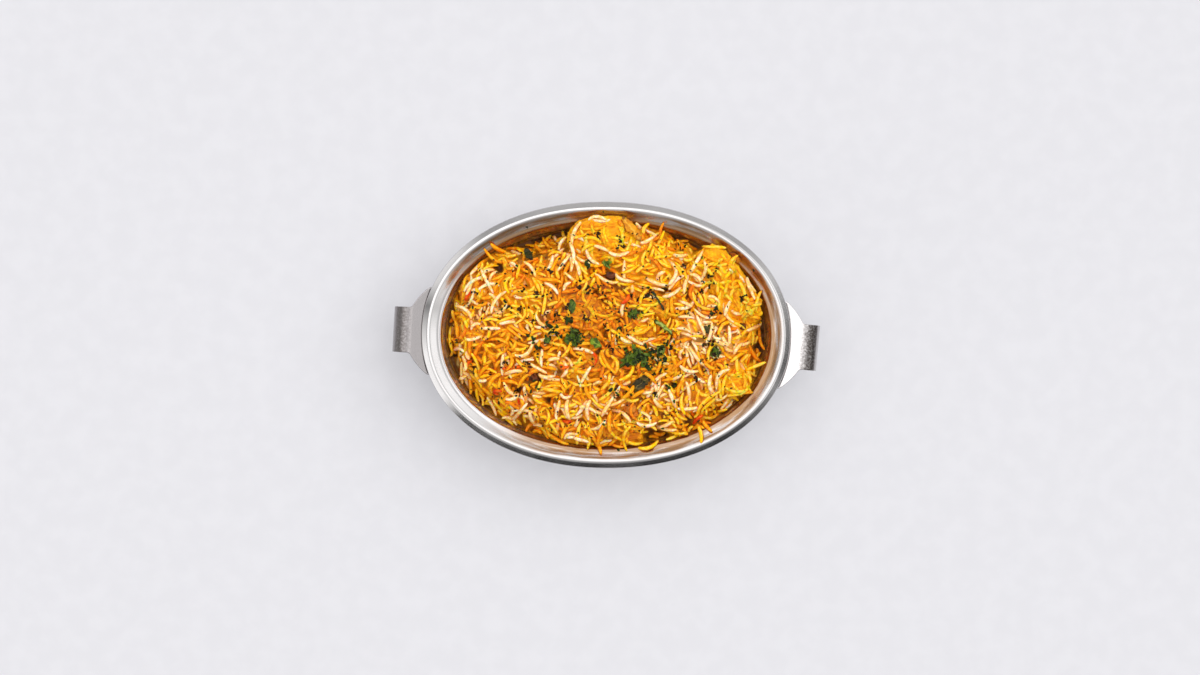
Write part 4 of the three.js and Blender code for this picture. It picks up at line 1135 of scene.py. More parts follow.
def make_sprig(node, count, size, spread, material, slot, seed):
    """A bunch of leaflets in a spiral over the node, each a little above it and tilted."""
    random = np.random.default_rng(seed)
    low, high = [np.array(corner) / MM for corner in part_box(node)]
    bvh = tree_of(merged_copy(node))
    points, faces, beside = [], [], []
    for i in range(count):
        angle = i * LEAFLET_STEP + random.uniform(-0.4, 0.4)
        share = spread * (i + 0.5) / count
        way = np.array([math.cos(angle), math.sin(angle)])
        middle = (low + high)[:2] / 2 + (high - low)[:2] / 2 * share * way
        ground = height_over(bvh, *middle) or low[2] + 0.4
        blade = leaflet_points(size * random.uniform(*LEAFLET_SIZES), random)
        tilt = Matrix.Rotation(random.uniform(0, 6.3), 3, "Z")
        for axis in ("X", "Y"):
            tilt = tilt @ Matrix.Rotation(random.uniform(-LEAFLET_TILT, LEAFLET_TILT), 3, axis)
        lift = ground + 0.2 + 0.6 * random.uniform(0, 1)
        faces += leaflet_faces(len(points))
        points += [tuple((tilt @ Vector(p) + Vector((*middle, lift))) * MM) for p in blade]
        beside += list(0.15 + 2 * blade[:, 1] / size)
    mesh = bpy.data.meshes.new(node + "_piece")
    mesh.from_pydata(points, [], faces)
    store(mesh, "beside", beside)
    mesh.materials.append(material)
    piece = new_piece(node + "_piece", mesh)
    sheet = piece.modifiers.new("sheet", "SOLIDIFY")
    sheet.thickness = LEAFLET_SHEET * MM
    settle(piece)
    shade_smooth(piece.data)
    return serve(piece, slot, node)


sprigs = [make_sprig(node, *look, seed=SPRIG_SEED + i) for i, (node, look) in enumerate(SPRIGS.items())]

# %% [markdown]
# ## Laying the grains
# Grains could be scattered on the heap by chance, but they would cut through each other. A
# physics simulation would settle thousands of them slowly. Here each grain is laid by a short
# rule instead. A height map says how high the heap is at every place. A new grain rests like a
# beam on the two highest supports on either side of its middle, sags a little towards what
# is under it, and is then added to the map. The next grain goes where the heap is still lowest.

# %% Height map
CELL = 0.4                      # millimetres
MAP_HALF = (97, 69)
GRAINS_FROM = 3.5               # the grains fill the heap from this far under its face
UNDER_LEAF = 0.9                # and stay this far under the top of a leaf
map_x = np.arange(-MAP_HALF[0], MAP_HALF[0] + CELL, CELL)
map_y = np.arange(-MAP_HALF[1], MAP_HALF[1] + CELL, CELL)
grid_x, grid_y = np.meshgrid(map_x, map_y, indexing="ij")


def cell_of(x, y):
    """Row and column of the map for a place, kept inside the map."""
    i = np.clip(np.rint((x + MAP_HALF[0]) / CELL).astype(int), 0, len(map_x) - 1)
    j = np.clip(np.rint((y + MAP_HALF[1]) / CELL).astype(int), 0, len(map_y) - 1)
    return i, j


def dish_face(inward):
    """Height of the dish's upper face, from the distance inside the edge of the heap."""
    inset = wall_inset(EDGE) + inward
    insets = [point[0] for point in RIM_FACE] + [wall_inset(SHEET)]
    faces = [HEIGHT - point[1] for point in RIM_FACE] + [SHEET]
    return np.interp(inset, insets, faces)


def stamp(piece, field):
    """Raise a height field to the top of a piece. Gives the cells that the piece covers."""
    bvh = tree_of(piece.data)
    points = points_of(piece.data)
    first = cell_of(*points[:, :2].min(0))
    last = cell_of(*points[:, :2].max(0))
    raised = []
    for i in range(first[0], last[0] + 1):
        for j in range(first[1], last[1] + 1):
            height = height_over(bvh, map_x[i], map_y[j])
            if height is not None and height > field[i, j]:
                field[i, j] = height
                raised.append((i, j))
    return np.array(raised).reshape(-1, 2)


_, inward_map = place_in_oval(grid_x, grid_y)
heap_form = heap_height(grid_x, grid_y)
heights = np.maximum(heap_form - GRAINS_FROM, dish_face(inward_map))
chunk_cells = np.zeros(heights.shape, bool)
cells_of_chunk = {node: stamp(piece, heights) for node, piece in chunks.items()}
for cells in cells_of_chunk.values():
    chunk_cells[tuple(cells.T)] = True
leaf_tops = np.zeros(heights.shape)
for piece in leaves + sprigs:
    stamp(piece, leaf_tops)
ceiling = np.where(leaf_tops > 0, leaf_tops - UNDER_LEAF, np.inf)
print(f"map of {heights.size} cells; chunks cover {chunk_cells.mean():.0%} of it")

# %% [markdown]
# ## Colours of the rice
# Saffron water is poured over white rice in patches, so the grains come in kinds: cream ones that
# it missed, yellow, golden and orange ones, and a few red ones next to the spice. Each kind
# is one piece with its own material. Named patches say where a kind is common.

# %% Kinds of grain and their patches
KINDS = ("cream", "yellow", "golden", "orange", "red")
USUAL = (0.20, 0.38, 0.28, 0.13, 0.008)
PATCHES = [     # middle, half sizes, how much more of each kind
    ((57, 0), (20, 13), (1.2, 0.2, 0, 0, 0)),           # white rice at the right
    ((57, -1), (15, 9), (2.6, 0, 0, 0, 0)),
    ((-65, 10), (12, 11), (0.9, 0.3, 0, 0, 0)),         # pale strands at the left
    ((-4, -40), (26, 9), (0.6, 0.5, 0, 0, 0)),          # pale grains in front
    ((-22, -20), (11, 9), (0.7, 0.2, 0.1, 0, 0)),
    ((40, -30), (22, 12), (0.5, 0.3, 0, 0, 0)),
    ((-6, 14), (26, 15), (-0.12, -0.15, 0.5, 1.2, 0.03)),       # masala in the middle
    ((-20, 14), (16, 10), (0, -0.15, 0, 1.4, 0)),
    ((5, -14), (24, 9), (0, 0, 0.4, 0.9, 0.02)),
    ((30, 38), (28, 12), (0.2, 1.4, 0.4, 0.1, 0.01)),   # gold at the back
    ((0, 53), (20, 12), (0, 1.5, 0.3, 0, 0)),           # yellow over the chicken at the back
    ((70, 20), (16, 26), (0, 1.8, 0.4, 0, 0)),          # yellow at the right
    ((76, -22), (12, 9), (0, 1.5, 0.3, 0, 0)),
    ((-50, 20), (22, 14), (0.1, 1.2, 0.4, 0, 0)),
    ((-58, -18), (16, 22), (0, 0.6, 0.9, 0.1, 0.02)),
]


def kind_weights(x, y):
    """How common each kind of grain is at a place, or at many places."""
    weights = np.zeros(np.shape(x) + (len(KINDS),)) + USUAL
    for (at_x, at_y), (half_x, half_y), more in PATCHES:
        away = np.hypot((x - at_x) / half_x, (y - at_y) / half_y)
        weights += (1 - smooth_step(away, 0.5, 1.2))[..., None] * np.array(more)
    return weights / weights.sum(-1, keepdims=True)


print(f"{len(KINDS)} kinds of grain in {len(PATCHES)} patches")

# %% Rule that lays a grain
KNOTS = 0.5 * np.array([-1, -0.9, -0.62, -0.22, 0.22, 0.62, 0.9, 1])      # share along the grain
KNOT_WIDTHS = np.array([0.3, 0.68, 0.93, 1.03, 1, 0.9, 0.64, 0.24])
SAG = 0.5                       # how far a grain sinks into the hollows under it
SAG_MOST = 1.6
BESIDE = (-0.6, 0, 0.6)         # where a grain feels for what is under it, in shares of its radius
WALL_ROOM = 0.7                 # share of its radius that its line stays away from the wall
OVER_RIM = 0.05                 # it lies at least this far over the rim's face
BROKEN_SHARE, BROKEN_LENGTH = 0.25, (4, 7)      # share of broken grains, and their lengths
LENGTH, LENGTH_SPREAD = 10.8, 2
THIN, THICK = 0.88, 1.15        # radii of the grains laid by chance
BEND, TWIST = 0.16, 0.045       # how strongly a grain curves, one way and as an S
LEFT, RIGHT = np.nonzero(KNOTS < 0)[0], np.nonzero(KNOTS > 0)[0]
SMOOTH_FIT = np.vander(KNOTS, 4) @ np.linalg.pinv(np.vander(KNOTS, 4))   # keeps only a cubic


class Grain:
    """A grain's middle line, its thickness and its look."""

    def __init__(self, x, y, radius, kind, tint):
        self.x, self.y, self.radius, self.kind, self.tint = x, y, radius, kind, tint
        self.length = np.hypot(np.diff(x), np.diff(y)).sum()
        way = np.array([x[-1] - x[0], y[-1] - y[0]]) / math.hypot(x[-1] - x[0], y[-1] - y[0])
        self.across = (-way[1], way[0])
        self.z = None

    def ground(self):
        """The height that the middle line needs, so that the grain clears what is under it."""
        found = np.full(len(KNOTS), -np.inf)
        for beside in BESIDE:
            shift = beside * self.radius
            cells = cell_of(self.x + shift * self.across[0], self.y + shift * self.across[1])
            found = np.maximum(found, heights[cells] - abs(beside) * 0.3 * self.radius)
        return found + self.radius * KNOT_WIDTHS

    def rest(self, sag=SAG, sink=0.0):
        """Lay the grain on its two highest supports, and let it sag between them."""
        ground = self.ground()
        near, far = ground[LEFT][:, None], ground[RIGHT][None, :]
        before, after = KNOTS[LEFT][:, None], KNOTS[RIGHT][None, :]
        middles = (near * after - far * before) / (after - before)
        i, j = np.unravel_index(middles.argmax(), middles.shape)
        slope = (ground[RIGHT[j]] - ground[LEFT[i]]) / (KNOTS[RIGHT[j]] - KNOTS[LEFT[i]])
        line = middles[i, j] + slope * KNOTS
        sunk = line - sag * np.minimum(line - ground, SAG_MOST * sag / SAG)
        self.z = SMOOTH_FIT @ sunk - sink
        return abs(slope) / self.length

    def clear(self):
        """True if the grain is under the leaves, and inside the wall or over the rim."""
        cells = cell_of(self.x, self.y)
        half = self.radius * KNOT_WIDTHS
        inward = inward_map[cells]
        inside = inward - WALL_TAPER * np.maximum(EDGE - self.z, 0) > WALL_ROOM * self.radius
        over = self.z - half > dish_face(inward) + OVER_RIM
        return np.all(self.z + half < ceiling[cells]) and np.all(inside | over)

    def fits(self, allowance):
        """True if the grain is also below the heap's face and off the chunks."""
        cells = cell_of(self.x, self.y)
        below = (self.z[1:-1] - target[cells][1:-1]).mean() < allowance
        return below and chunk_cells[cells].sum() <= 2 and self.clear()

    def add(self):
        """Raise the height map by the grain."""
        at = np.linspace(KNOTS[0], KNOTS[-1], int(self.length / 0.5))
        x, y, z = [np.interp(at, KNOTS, line) for line in (self.x, self.y, self.z)]
        radius = self.radius * np.interp(at, KNOTS, KNOT_WIDTHS)
        i, j = cell_of(x, y)
        reach = int(self.radius / CELL) + 1
        around = np.arange(-reach, reach + 1)
        di, dj = [step.ravel() for step in np.meshgrid(around, around, indexing="ij")]
        i = np.clip(i[:, None] + di, 0, len(map_x) - 1)
        j = np.clip(j[:, None] + dj, 0, len(map_y) - 1)
        away = (map_x[i] - x[:, None]) ** 2 + (map_y[j] - y[:, None]) ** 2
        round_top = radius[:, None] ** 2 - away
        covered = round_top > 0
        top = (z[:, None] + np.sqrt(np.maximum(round_top, 0)))[covered]
        np.maximum.at(heights, (i[covered], j[covered]), top)


def chance_grain(x, y, random):
    """A grain with its middle at a place: its kind, length and bends are left to chance."""
    kind = random.choice(len(KINDS), p=kind_weights(x, y))
    broken = random.random() < BROKEN_SHARE
    length = random.uniform(*BROKEN_LENGTH) if broken else random.normal(LENGTH, LENGTH_SPREAD)
    along = KNOTS * length
    side = random.normal(0, BEND) * (1 / 3 - 4 * KNOTS ** 2) + random.normal(0, TWIST) * 8 * KNOTS ** 3
    heading = random.uniform(0, math.pi)
    line_x = x + along * math.cos(heading) - side * length * math.sin(heading)
    line_y = y + along * math.sin(heading) + side * length * math.cos(heading)
    return Grain(line_x, line_y, random.uniform(THIN, THICK), kind, random.random())


def drawn_grain(points, kind, random):
    """A grain through three given places."""
    shares = np.stack([2 * KNOTS ** 2 - KNOTS, 1 - 4 * KNOTS ** 2, 2 * KNOTS ** 2 + KNOTS], 1)
    x, y = (shares @ np.array(points, float)).T
    return Grain(x, y, random.uniform(1.05, 1.2), kind, random.random())


print(f"a grain's line has {len(KNOTS)} points")

# %% Heap of loose grains
FACE_LIFT, WALL_LIFT = 1.0, 2.2     # the grains' middles reach this far over the bare heap's face
HOLES = [((46, -47), 4), ((23, -53), 3.5), ((-26.5, -21), 3), ((-31, -36), 2.5), ((81, -6), 4),
         ((31, 24), 2.5), ((-71, -20), 3), ((9, 26), 3), ((-58, 36), 3), ((75, 32), 4)]  # dark pockets
SMALL_HOLES = 140
HOLE_DEPTH = 4.5
GRAINS_MOST, TRIES_MOST, MISSES_MOST = 3600, 22000, 300
CELLS_COMPARED = 9              # a grain goes to the lowest of this many cells
STEEPEST = 0.75                 # slope of the steepest grain
GRAIN_SEED = 12
OVER_TARGET = (-0.4, 1.4)       # a grain may lie this far over the heap's face, by chance
PILE_INWARD, PILE_GAP = 0.4, 0.6        # distance from the wall, and share of a gap, to start at


def hole_map(random):
    """How deep the pockets in the heap's face are: the named ones and many small ones."""
    depth = np.zeros_like(heap_form)
    small = [(random.uniform(-1, 1, 2) * MAP_HALF, random.uniform(1.2, 2.4)) for _ in range(SMALL_HOLES)]
    for (x, y), radius in HOLES + small:
        away = np.hypot(grid_x - x, grid_y - y) / radius
        depth = np.maximum(depth, HOLE_DEPTH * (1 - smooth_step(away, 0.5, 1.2)))
    return depth


def wall_lift():
    """The loose grains stand a little higher where the heap meets the wall."""
    near = 1 - smooth_step(inward_map, 3, 10)
    return WALL_LIFT * near * (1 - gap_map.clip(0, 3) / 3)


def pile_grains(random):
    """Fill the heap up to its face, always where it is still lowest."""
    open_cells = np.flatnonzero((inward_map > PILE_INWARD + PILE_GAP * gap_map) & ~chunk_cells)
    piled, misses = [], 0
    for _ in range(TRIES_MOST):
        choice = random.choice(open_cells, CELLS_COMPARED)
        lack = np.minimum(target, ceiling - 1.5).ravel()[choice] - heights.ravel()[choice]
        i, j = np.unravel_index(choice[lack.argmax()], heights.shape)
        grain = chance_grain(map_x[i], map_y[j], random)
        misses += 1
        if grain.rest() < STEEPEST and grain.fits(random.uniform(*OVER_TARGET)):
            grain.add()
            piled.append(grain)
            misses = 0
        if len(piled) >= GRAINS_MOST or misses > MISSES_MOST:
            break
    return piled


random = np.random.default_rng(GRAIN_SEED)
gap_map = wall_gap(grid_x, grid_y)
target = heap_form + FACE_LIFT + wall_lift() - hole_map(random)
grains = pile_grains(random)
print(f"{len(grains)} grains piled")

# %% [markdown]
# Cooked rice sticks to the chunks too. The grains that cross a chunk sag more than others and
# sink a little into its soft face. Last come the grains that are listed one by one: long pale ones
# that curl over the heap, a few that hang over the ledge of the rim, and some on the bay leaf.

# %% Grains over the chunks, and listed grains
GRAIN_FACE = 27                 # square millimetres that a grain covers
SOFT_SAG, HAND_SAG = 0.95, 0.9  # how far grains sink into hollows on a chunk, and the listed ones
STEEPEST_ON_CHUNK = 1.1
SINK_IN_CHUNK = (0.5, 1.5)
HAND_LAID = {       # three places that each grain runs through
    "cream": [
        ((-14, 61), (-18, 55), (-19, 48)), ((-20, 50), (-18, 44), (-18, 38)),
        ((-11, 46), (-9, 41), (-4, 38)), ((-26, 46), (-25, 50), (-22, 53)),
        ((-10, 62), (-6, 64), (0, 62)), ((-68, 35), (-65, 29), (-61, 22)),
        ((-54, 23), (-60, 18), (-62, 11)), ((-82, 15), (-76, 13), (-73, 8)),
        ((-68, 3), (-63, 3), (-57, 3)), ((-32, 35), (-30, 38), (-29, 43)),
        ((-17, 40), (-15, 35), (-15, 32)), ((1, 45), (6, 43), (12, 45)),
        ((-7, 48), (-3, 47), (1, 45)), ((18, 50), (22, 51), (27, 55)),
        ((37, 36), (37, 32), (33, 27)), ((21, 31), (27, 28), (33, 27)),
        ((52, 46), (48, 39), (45, 34)), ((45, 33), (49, 32), (51, 28)),
        ((36, 44), (39, 43), (44, 44)), ((5, 33), (8, 30), (15, 29)),
        ((76, 32), (77, 28), (81, 24)), ((76, 28), (78, 25), (80, 20)),
        ((76, 3), (81, 5), (85, 7)), ((64, 11), (65, 15), (67, 19)),
        ((55, 21), (58, 21), (61, 18)), ((30, 21), (35, 22), (40, 26)),
        ((13, 10), (17, 8), (18, 3)), ((-83, -9), (-80, -8), (-77, -10)),
        ((-78, -12), (-76, -16), (-76, -20)), ((-80, -25), (-78, -24), (-76, -23)),
        ((-76, -3), (-72, -3), (-67, -1)), ((-49, -11), (-43, -11), (-39, -4)),
        ((-55, -22), (-50, -20), (-45, -20)), ((-55, -26), (-52, -31), (-48, -33)),
        ((-36, -21), (-33, -23), (-27, -22)), ((-23, -14), (-21, -19), (-24, -23)),
        ((-51, -47), (-47, -43), (-42, -37)), ((-41, -42), (-40, -46), (-38, -49)),
        ((-20, -35), (-21, -40), (-19, -46)), ((-14, -39), (-10, -39), (-5, -42)),
        ((-8, -35), (-10, -40), (-9, -46)), ((-2, -44), (0, -40), (3, -36)),
        ((-17, -56), (-13, -57), (-9, -58)), ((-22, -57), (-20, -54), (-15, -54)),
        ((-54, -35), (-50, -35), (-47, -32)), ((-28, -3), (-24, -3), (-20, -1)),
        ((-31, -14), (-28, -13), (-25, -13)), ((11, 0), (16, -3), (20, -5)),
        ((8, -1), (10, -3), (14, -4)), ((45, -6), (49, -12), (53, -16)),
        ((40, -16), (44, -19), (50, -19)), ((67, -18), (61, -21), (60, -29)),
        ((57, -21), (56, -27), (59, -31)), ((63, -40), (65, -37), (67, -34)),
        ((17, -47), (22, -49), (28, -47)), ((28, -50), (32, -49), (37, -46)),
        ((34, -29), (36, -34), (38, -39)), ((26, -34), (28, -37), (31, -39)),
        ((74, -4), (71, -6), (69, -10)), ((58, -7), (62, -8), (68, -9)),
        ((63, 0), (64, -3), (67, -6)), ((59, -2), (62, -4), (66, -5))],
    "yellow": [
        ((-48, 41), (-43, 42), (-40, 40)), ((-52, 20), (-48, 23), (-42, 22)),
        ((-81, 9), (-77, 8), (-75, 3)), ((20, 55), (20, 58), (23, 61)),
        ((71, 30), (74, 25), (75, 20)), ((-34, -29), (-29, -30), (-23, -31)),
        ((50, -41), (54, -35), (62, -30)), ((14, -49), (10, -55), (12, -63)),
        ((18, -61), (24, -61), (29, -57)), ((50, -48), (52, -53), (52, -58)),
        ((77, -18), (82, -16), (87, -14))],
    "golden": [
        ((-63, 49), (-59, 46), (-55, 45)), ((-8, -54), (-4, -59), (-2, -65)),
        ((-1, -48), (-3, -54), (-4, -60)), ((3, -41), (2, -47), (3, -53)),
        ((53, -46), (55, -49), (58, -52))],
    "red": [((48, -48), (50, -45), (53, -43)), ((-24, -16), (-23, -18), (-20, -17)),
            ((-58, -33), (-60, -31), (-56, -31)), ((8, 17), (11, 19), (12, 22))],
}
ON_BAY_LEAF = [((8, -28), (12, -29), (16, -33)), ((9, -34), (13, -31), (15, -27)),
               ((14, -34), (18, -31), (21, -30)), ((20, -20), (24, -22), (27, -26))]


def cover_chunk(cells, share, random):
    """Lay grains across a chunk, each sunk into its face by its own depth."""
    wanted = int(share * len(cells) * CELL ** 2 / GRAIN_FACE)
    laid = []
    for i, j in random.choice(cells, 4 * wanted):
        grain = chance_grain(map_x[i], map_y[j], random)
        sink = random.uniform(*SINK_IN_CHUNK)
        if len(laid) < wanted and grain.rest(SOFT_SAG, sink) < STEEPEST_ON_CHUNK and grain.clear():
            grain.add()
            laid.append(grain)
    return laid


def lay_by_hand(random):
    """The listed grains, all but those that a leaf covers."""
    laid = []
    for kind, lines in HAND_LAID.items():
        for line in lines:
            grain = drawn_grain(line, KINDS.index(kind), random)
            grain.rest(HAND_SAG)
            if np.all(grain.z < ceiling[cell_of(grain.x, grain.y)]):
                grain.add()
                laid.append(grain)
    return laid


def lay_on_leaf(random):
    """The grains on the bay leaf. From here on a leaf's top counts as part of the heap."""
    np.maximum(heights, leaf_tops, out=heights)
    laid = [drawn_grain(line, KINDS.index("golden"), random) for line in ON_BAY_LEAF]
    for grain in laid:
        grain.rest(HAND_SAG)
        grain.add()
    return laid


over_chunks = [grain for node, (*_, covered, _) in CHUNKS.items()
               for grain in cover_chunk(cells_of_chunk[node], covered, random)]
by_hand = lay_by_hand(random) + lay_on_leaf(random)
grains += over_chunks + by_hand
print(f"{len(over_chunks)} grains over the chunks, {len(by_hand)} laid by hand")

# %% [markdown]
# ## From lines to grains
# Each grain is now a line of eight points. A tree turns the lines into curves and draws a round
# section along them, thin at the ends. Six sides are enough, since thousands of grains have
# to stay light. The mesh keeps a random tint for each grain, so that the material can give
# every grain its own shade. Cooked rice lets light in, which softens the shadows on it.

# %% Tree that makes strands from lines
def strand_tree():
    """Each line as a curve, with a round section as thick as its points say."""
    tree, given = new_tree("strands from lines", Sides=("Int", 6), Material=("Material", None))
    curves = put(tree, "GeometryNodeMeshToCurve", {"Mesh": given["Geometry"]})
    section = put(tree, "GeometryNodeCurvePrimitiveCircle", {"Resolution": given["Sides"], "Radius": 1})
    inputs = {"Curve": curves.outputs[0], "Profile Curve": section.outputs[0],
              "Scale": kept_value(tree, "thick"), "Fill Caps": True}
    return end_tree(tree, put(tree, "GeometryNodeCurveToMesh", inputs).outputs[0], given["Material"])


STRANDS = strand_tree()
print("tree:", STRANDS.name)

# %% Grains
GRAIN_SIDES = 6
LIGHT_IN_RICE = (1.0, 0.45, 0.12)       # it goes a little further than into the chicken
SIDE_SHADE_TINT = (0.95, 0.61, 0.33, 1)       # painted shade: faces that turn from straight up, and grains deep in the pile, are multiplied by this orange
SIDE_FROM, SIDE_TO = 0.9, 0.2           # how far a face looks up where the painted side shade sets in, and is full
STAIN_EDGES, STAIN_SHARE = (0.42, 0.6), 0.75
PILE_SHADE_FROM, PILE_SHADE_TO = 0.3, 3.5             # depths under the heap's face over which a grain's painted shade sets in


def grain_material(name, first, second, stain, roughness=0.38):
    """Cooked rice: each grain has its own tint and stains, and painted shade turns its sides, and grains
    deep in the pile, darker and orange.
    """
    material, tree, shader, place = new_material(
        name, Roughness=roughness, Specular_IOR_Level=0.12, Subsurface_Weight=0.8,
        Subsurface_Radius=LIGHT_IN_RICE, Subsurface_Scale=1.8 * MM)
    base = blend_colours(tree, read(tree, "tint"), first, second)
    cloud = clouds(tree, place, 420, 3)
    share = calc(tree, "MULTIPLY", remap(tree, cloud, *STAIN_EDGES), STAIN_SHARE)
    up = parts(tree, put(tree, "ShaderNodeNewGeometry").outputs["Normal"])["Z"]
    # painted shade: its share comes from how far a face turns from straight up and how deep the grain lies
    side = calc(tree, "MAXIMUM", remap(tree, up, SIDE_TO, SIDE_FROM, 1, 0), read(tree, "low"))
    stained = blend_colours(tree, share, base, stain)
    tree.links.new(blend_colours(tree, side, stained, SIDE_SHADE_TINT, "MULTIPLY"), shader.inputs["Base Color"])
    bump(tree, shader, cloud, 0.15, 0.6)
    return material


GRAIN_LOOKS = {     # two tints and the colour that stains them
    "cream": ((0.98, 0.80, 0.55, 1), (0.95, 0.66, 0.34, 1), (0.97, 0.54, 0.10, 1)),
    "yellow": ((1.0, 0.58, 0.005, 1), (0.96, 0.44, 0.004, 1), (0.98, 0.66, 0.10, 1)),
    "golden": ((0.91, 0.37, 0.005, 1), (0.82, 0.28, 0.004, 1), (0.96, 0.52, 0.025, 1)),
    "orange": ((0.77, 0.22, 0.005, 1), (0.66, 0.155, 0.005, 1), (0.90, 0.39, 0.015, 1)),
    "red": ((0.75, 0.075, 0.008, 1), (0.65, 0.05, 0.008, 1), (0.85, 0.2, 0.01, 1)),
}


def make_grains(kind, grains):
    """One piece of all the grains of a kind."""
    count, knots = len(grains), len(KNOTS)
    points = np.stack([np.stack([g.x, g.y, g.z], 1) for g in grains]).reshape(-1, 3) * MM
    starts = np.arange(count)[:, None] * knots + np.arange(knots - 1)
    edges = np.stack([starts, starts + 1], -1).reshape(-1, 2)
    mesh = bpy.data.meshes.new("lines")
    mesh.from_pydata(points.tolist(), edges.tolist(), [])
    store(mesh, "thick", np.concatenate([g.radius * KNOT_WIDTHS for g in grains]) * MM)
    store(mesh, "tint", np.repeat([g.tint for g in grains], knots))
    # how deep each grain lies in the pile, kept for its painted shade
    depth = np.concatenate([target[cell_of(g.x, g.y)] - g.z for g in grains])
    store(mesh, "low", smooth_step(depth, PILE_SHADE_FROM, PILE_SHADE_TO))
    material = grain_material("rice_" + kind, *GRAIN_LOOKS[kind])
    piece = grow("rice_" + kind, mesh, STRANDS, Sides=GRAIN_SIDES, Material=material)
    return serve(piece, "rice", "rice")


for index, kind in enumerate(KINDS):
    make_grains(kind, [grain for grain in grains if grain.kind == index])

# %% [markdown]
# ## The moist bed
# The bed is poured in up to just under the grains' tops: its face is the height map, blurred and
# lowered. Where masala lies it stands almost as high as the grains, so only their backs show.
# It is one closed mesh of rings round the oval, from the foot of the dish to the middle of the
# heap. Its points keep how spiced, yellow, pale and deep each place is, and the material reads
# these: where the bed lies deep, or in the space at a free wall, it is darkened as painted shade.
# It lies higher, too, where the rice sticks together and where saffron water was poured.

# %% Bed
BED_SINK, SPICED_SINK = 2.0, 0.5        # how far its face lies under the grains' tops
STICKY_SIZE, STICKY_LIFT = 8, 1.4       # size of the places where the rice sticks together
BED_BLUR = 1.0
GAP_SINK = 2                            # how much deeper it lies beside a free wall
OVER_FACE, BED_UNDER_LEAF = 0.8, 0.3    # its most over the heap's face, its least under a leaf's
BED_SIDES, BED_RINGS = 440, 120
BED_COLOURS = {     # two colours each that run into each other
    "gold": ((0.86, 0.38, 0.006, 1), (0.60, 0.17, 0.005, 1)),
    "masala": ((0.66, 0.24, 0.006, 1), (0.30, 0.08, 0.005, 1)),
}
# the last of these is painted shade, for where the bed lies deep or beside a free wall
SAFFRON, PALE_RICE, DEEP_SHADE = (0.96, 0.50, 0.006, 1), (0.88, 0.54, 0.12, 1), (0.085, 0.032, 0.008, 1)
SPICE_RANGE = (0.12, 0.42)              # shares of orange grains over which a place is spiced
SAFFRON_RANGE = (0.4, 0.62)             # the same for yellow grains and saffron
PALE_RANGE = (0.3, 0.75)                # and for cream grains and pale rice
DEEP_RANGE = (0.8, 4.5)                 # depths under the bare heap over which the bed's painted shade sets in


def blurred(field, spread):
    """The field, averaged round each cell."""
    steps = np.arange(-3 * spread, 3 * spread + CELL, CELL)
    weights = np.exp(-0.5 * (steps / spread) ** 2)
    weights /= weights.sum()
    for axis in (0, 1):
        field = np.apply_along_axis(np.convolve, axis, field, weights, "same")
    return field


def sample(field, x, y):
    """A field's value between its cells."""
    u = np.clip((x + MAP_HALF[0]) / CELL, 0, len(map_x) - 1.001)
    v = np.clip((y + MAP_HALF[1]) / CELL, 0, len(map_y) - 1.001)
    i, j = u.astype(int), v.astype(int)
    du, dv = u - i, v - j
    near = field[i, j] * (1 - du) + field[i + 1, j] * du
    far = field[i, j + 1] * (1 - du) + field[i + 1, j + 1] * du
    return near * (1 - dv) + far * dv


def wall_shade():
    """How much a place lies in the dark space at the wall."""
    width = GAP_SHARE * gap_map
    near = 1 - smooth_step(inward_map, 0.5 * width, width + 1)
    return near * (0.2 + 0.5 * gap_map.clip(0, 5) / 5)


def sticky_map():
    """Where the rice sticks together, from 0 to 1."""
    places = np.stack([grid_x, grid_y, np.full(grid_x.shape, 3.3)], -1).reshape(-1, 3) / STICKY_SIZE
    waves = np.array([noise.noise(place) for place in places]).reshape(grid_x.shape)
    return smooth_step(waves, -0.04, 0.24)


def bed_field(spice, saffron, shade):
    """Height of the bed's face on the map."""
    sticky = np.maximum(sticky_map(), 0.7 * saffron)
    sink = BED_SINK + (SPICED_SINK - BED_SINK) * spice - STICKY_LIFT * sticky * (1 - spice)
    level = blurred(heights, BED_BLUR) - sink
    level = np.clip(level, target - GRAINS_FROM, target + OVER_FACE)
    return np.minimum(level, ceiling - BED_UNDER_LEAF) - GAP_SINK * shade


def bed_material():
    """Broken rice in oil: gold, browner where masala lies, yellow with saffron or pale in places, and
    darkened by painted shade where it lies deep or at a free wall.
    """
    material, tree, shader, place = new_material(
        "rice_bed", Specular_IOR_Level=0.3, Roughness=0.45, Subsurface_Weight=0.2,
        Subsurface_Radius=LIGHT_IN_FOOD, Subsurface_Scale=1.2 * MM)
    gold, masala = [
        use_group(tree, MOTTLE, Vector=place, First=first, Second=second, Scale=scale, Specks=specks)
        for (first, second), scale, specks in zip(BED_COLOURS.values(), (420, 330), (0.3, 0.6))]
    spiced = blend_colours(tree, read(tree, "spice"), gold["Color"], masala["Color"])
    yellowed = blend_colours(tree, read(tree, "saffron"), spiced, SAFFRON)
    paled = blend_colours(tree, read(tree, "pale"), yellowed, PALE_RICE)
    shaded = blend_colours(tree, read(tree, "deep"), paled, DEEP_SHADE)
    tree.links.new(shaded, shader.inputs["Base Color"])
    bump(tree, shader, gold["Height"], 0.7, 0.9)
    return material


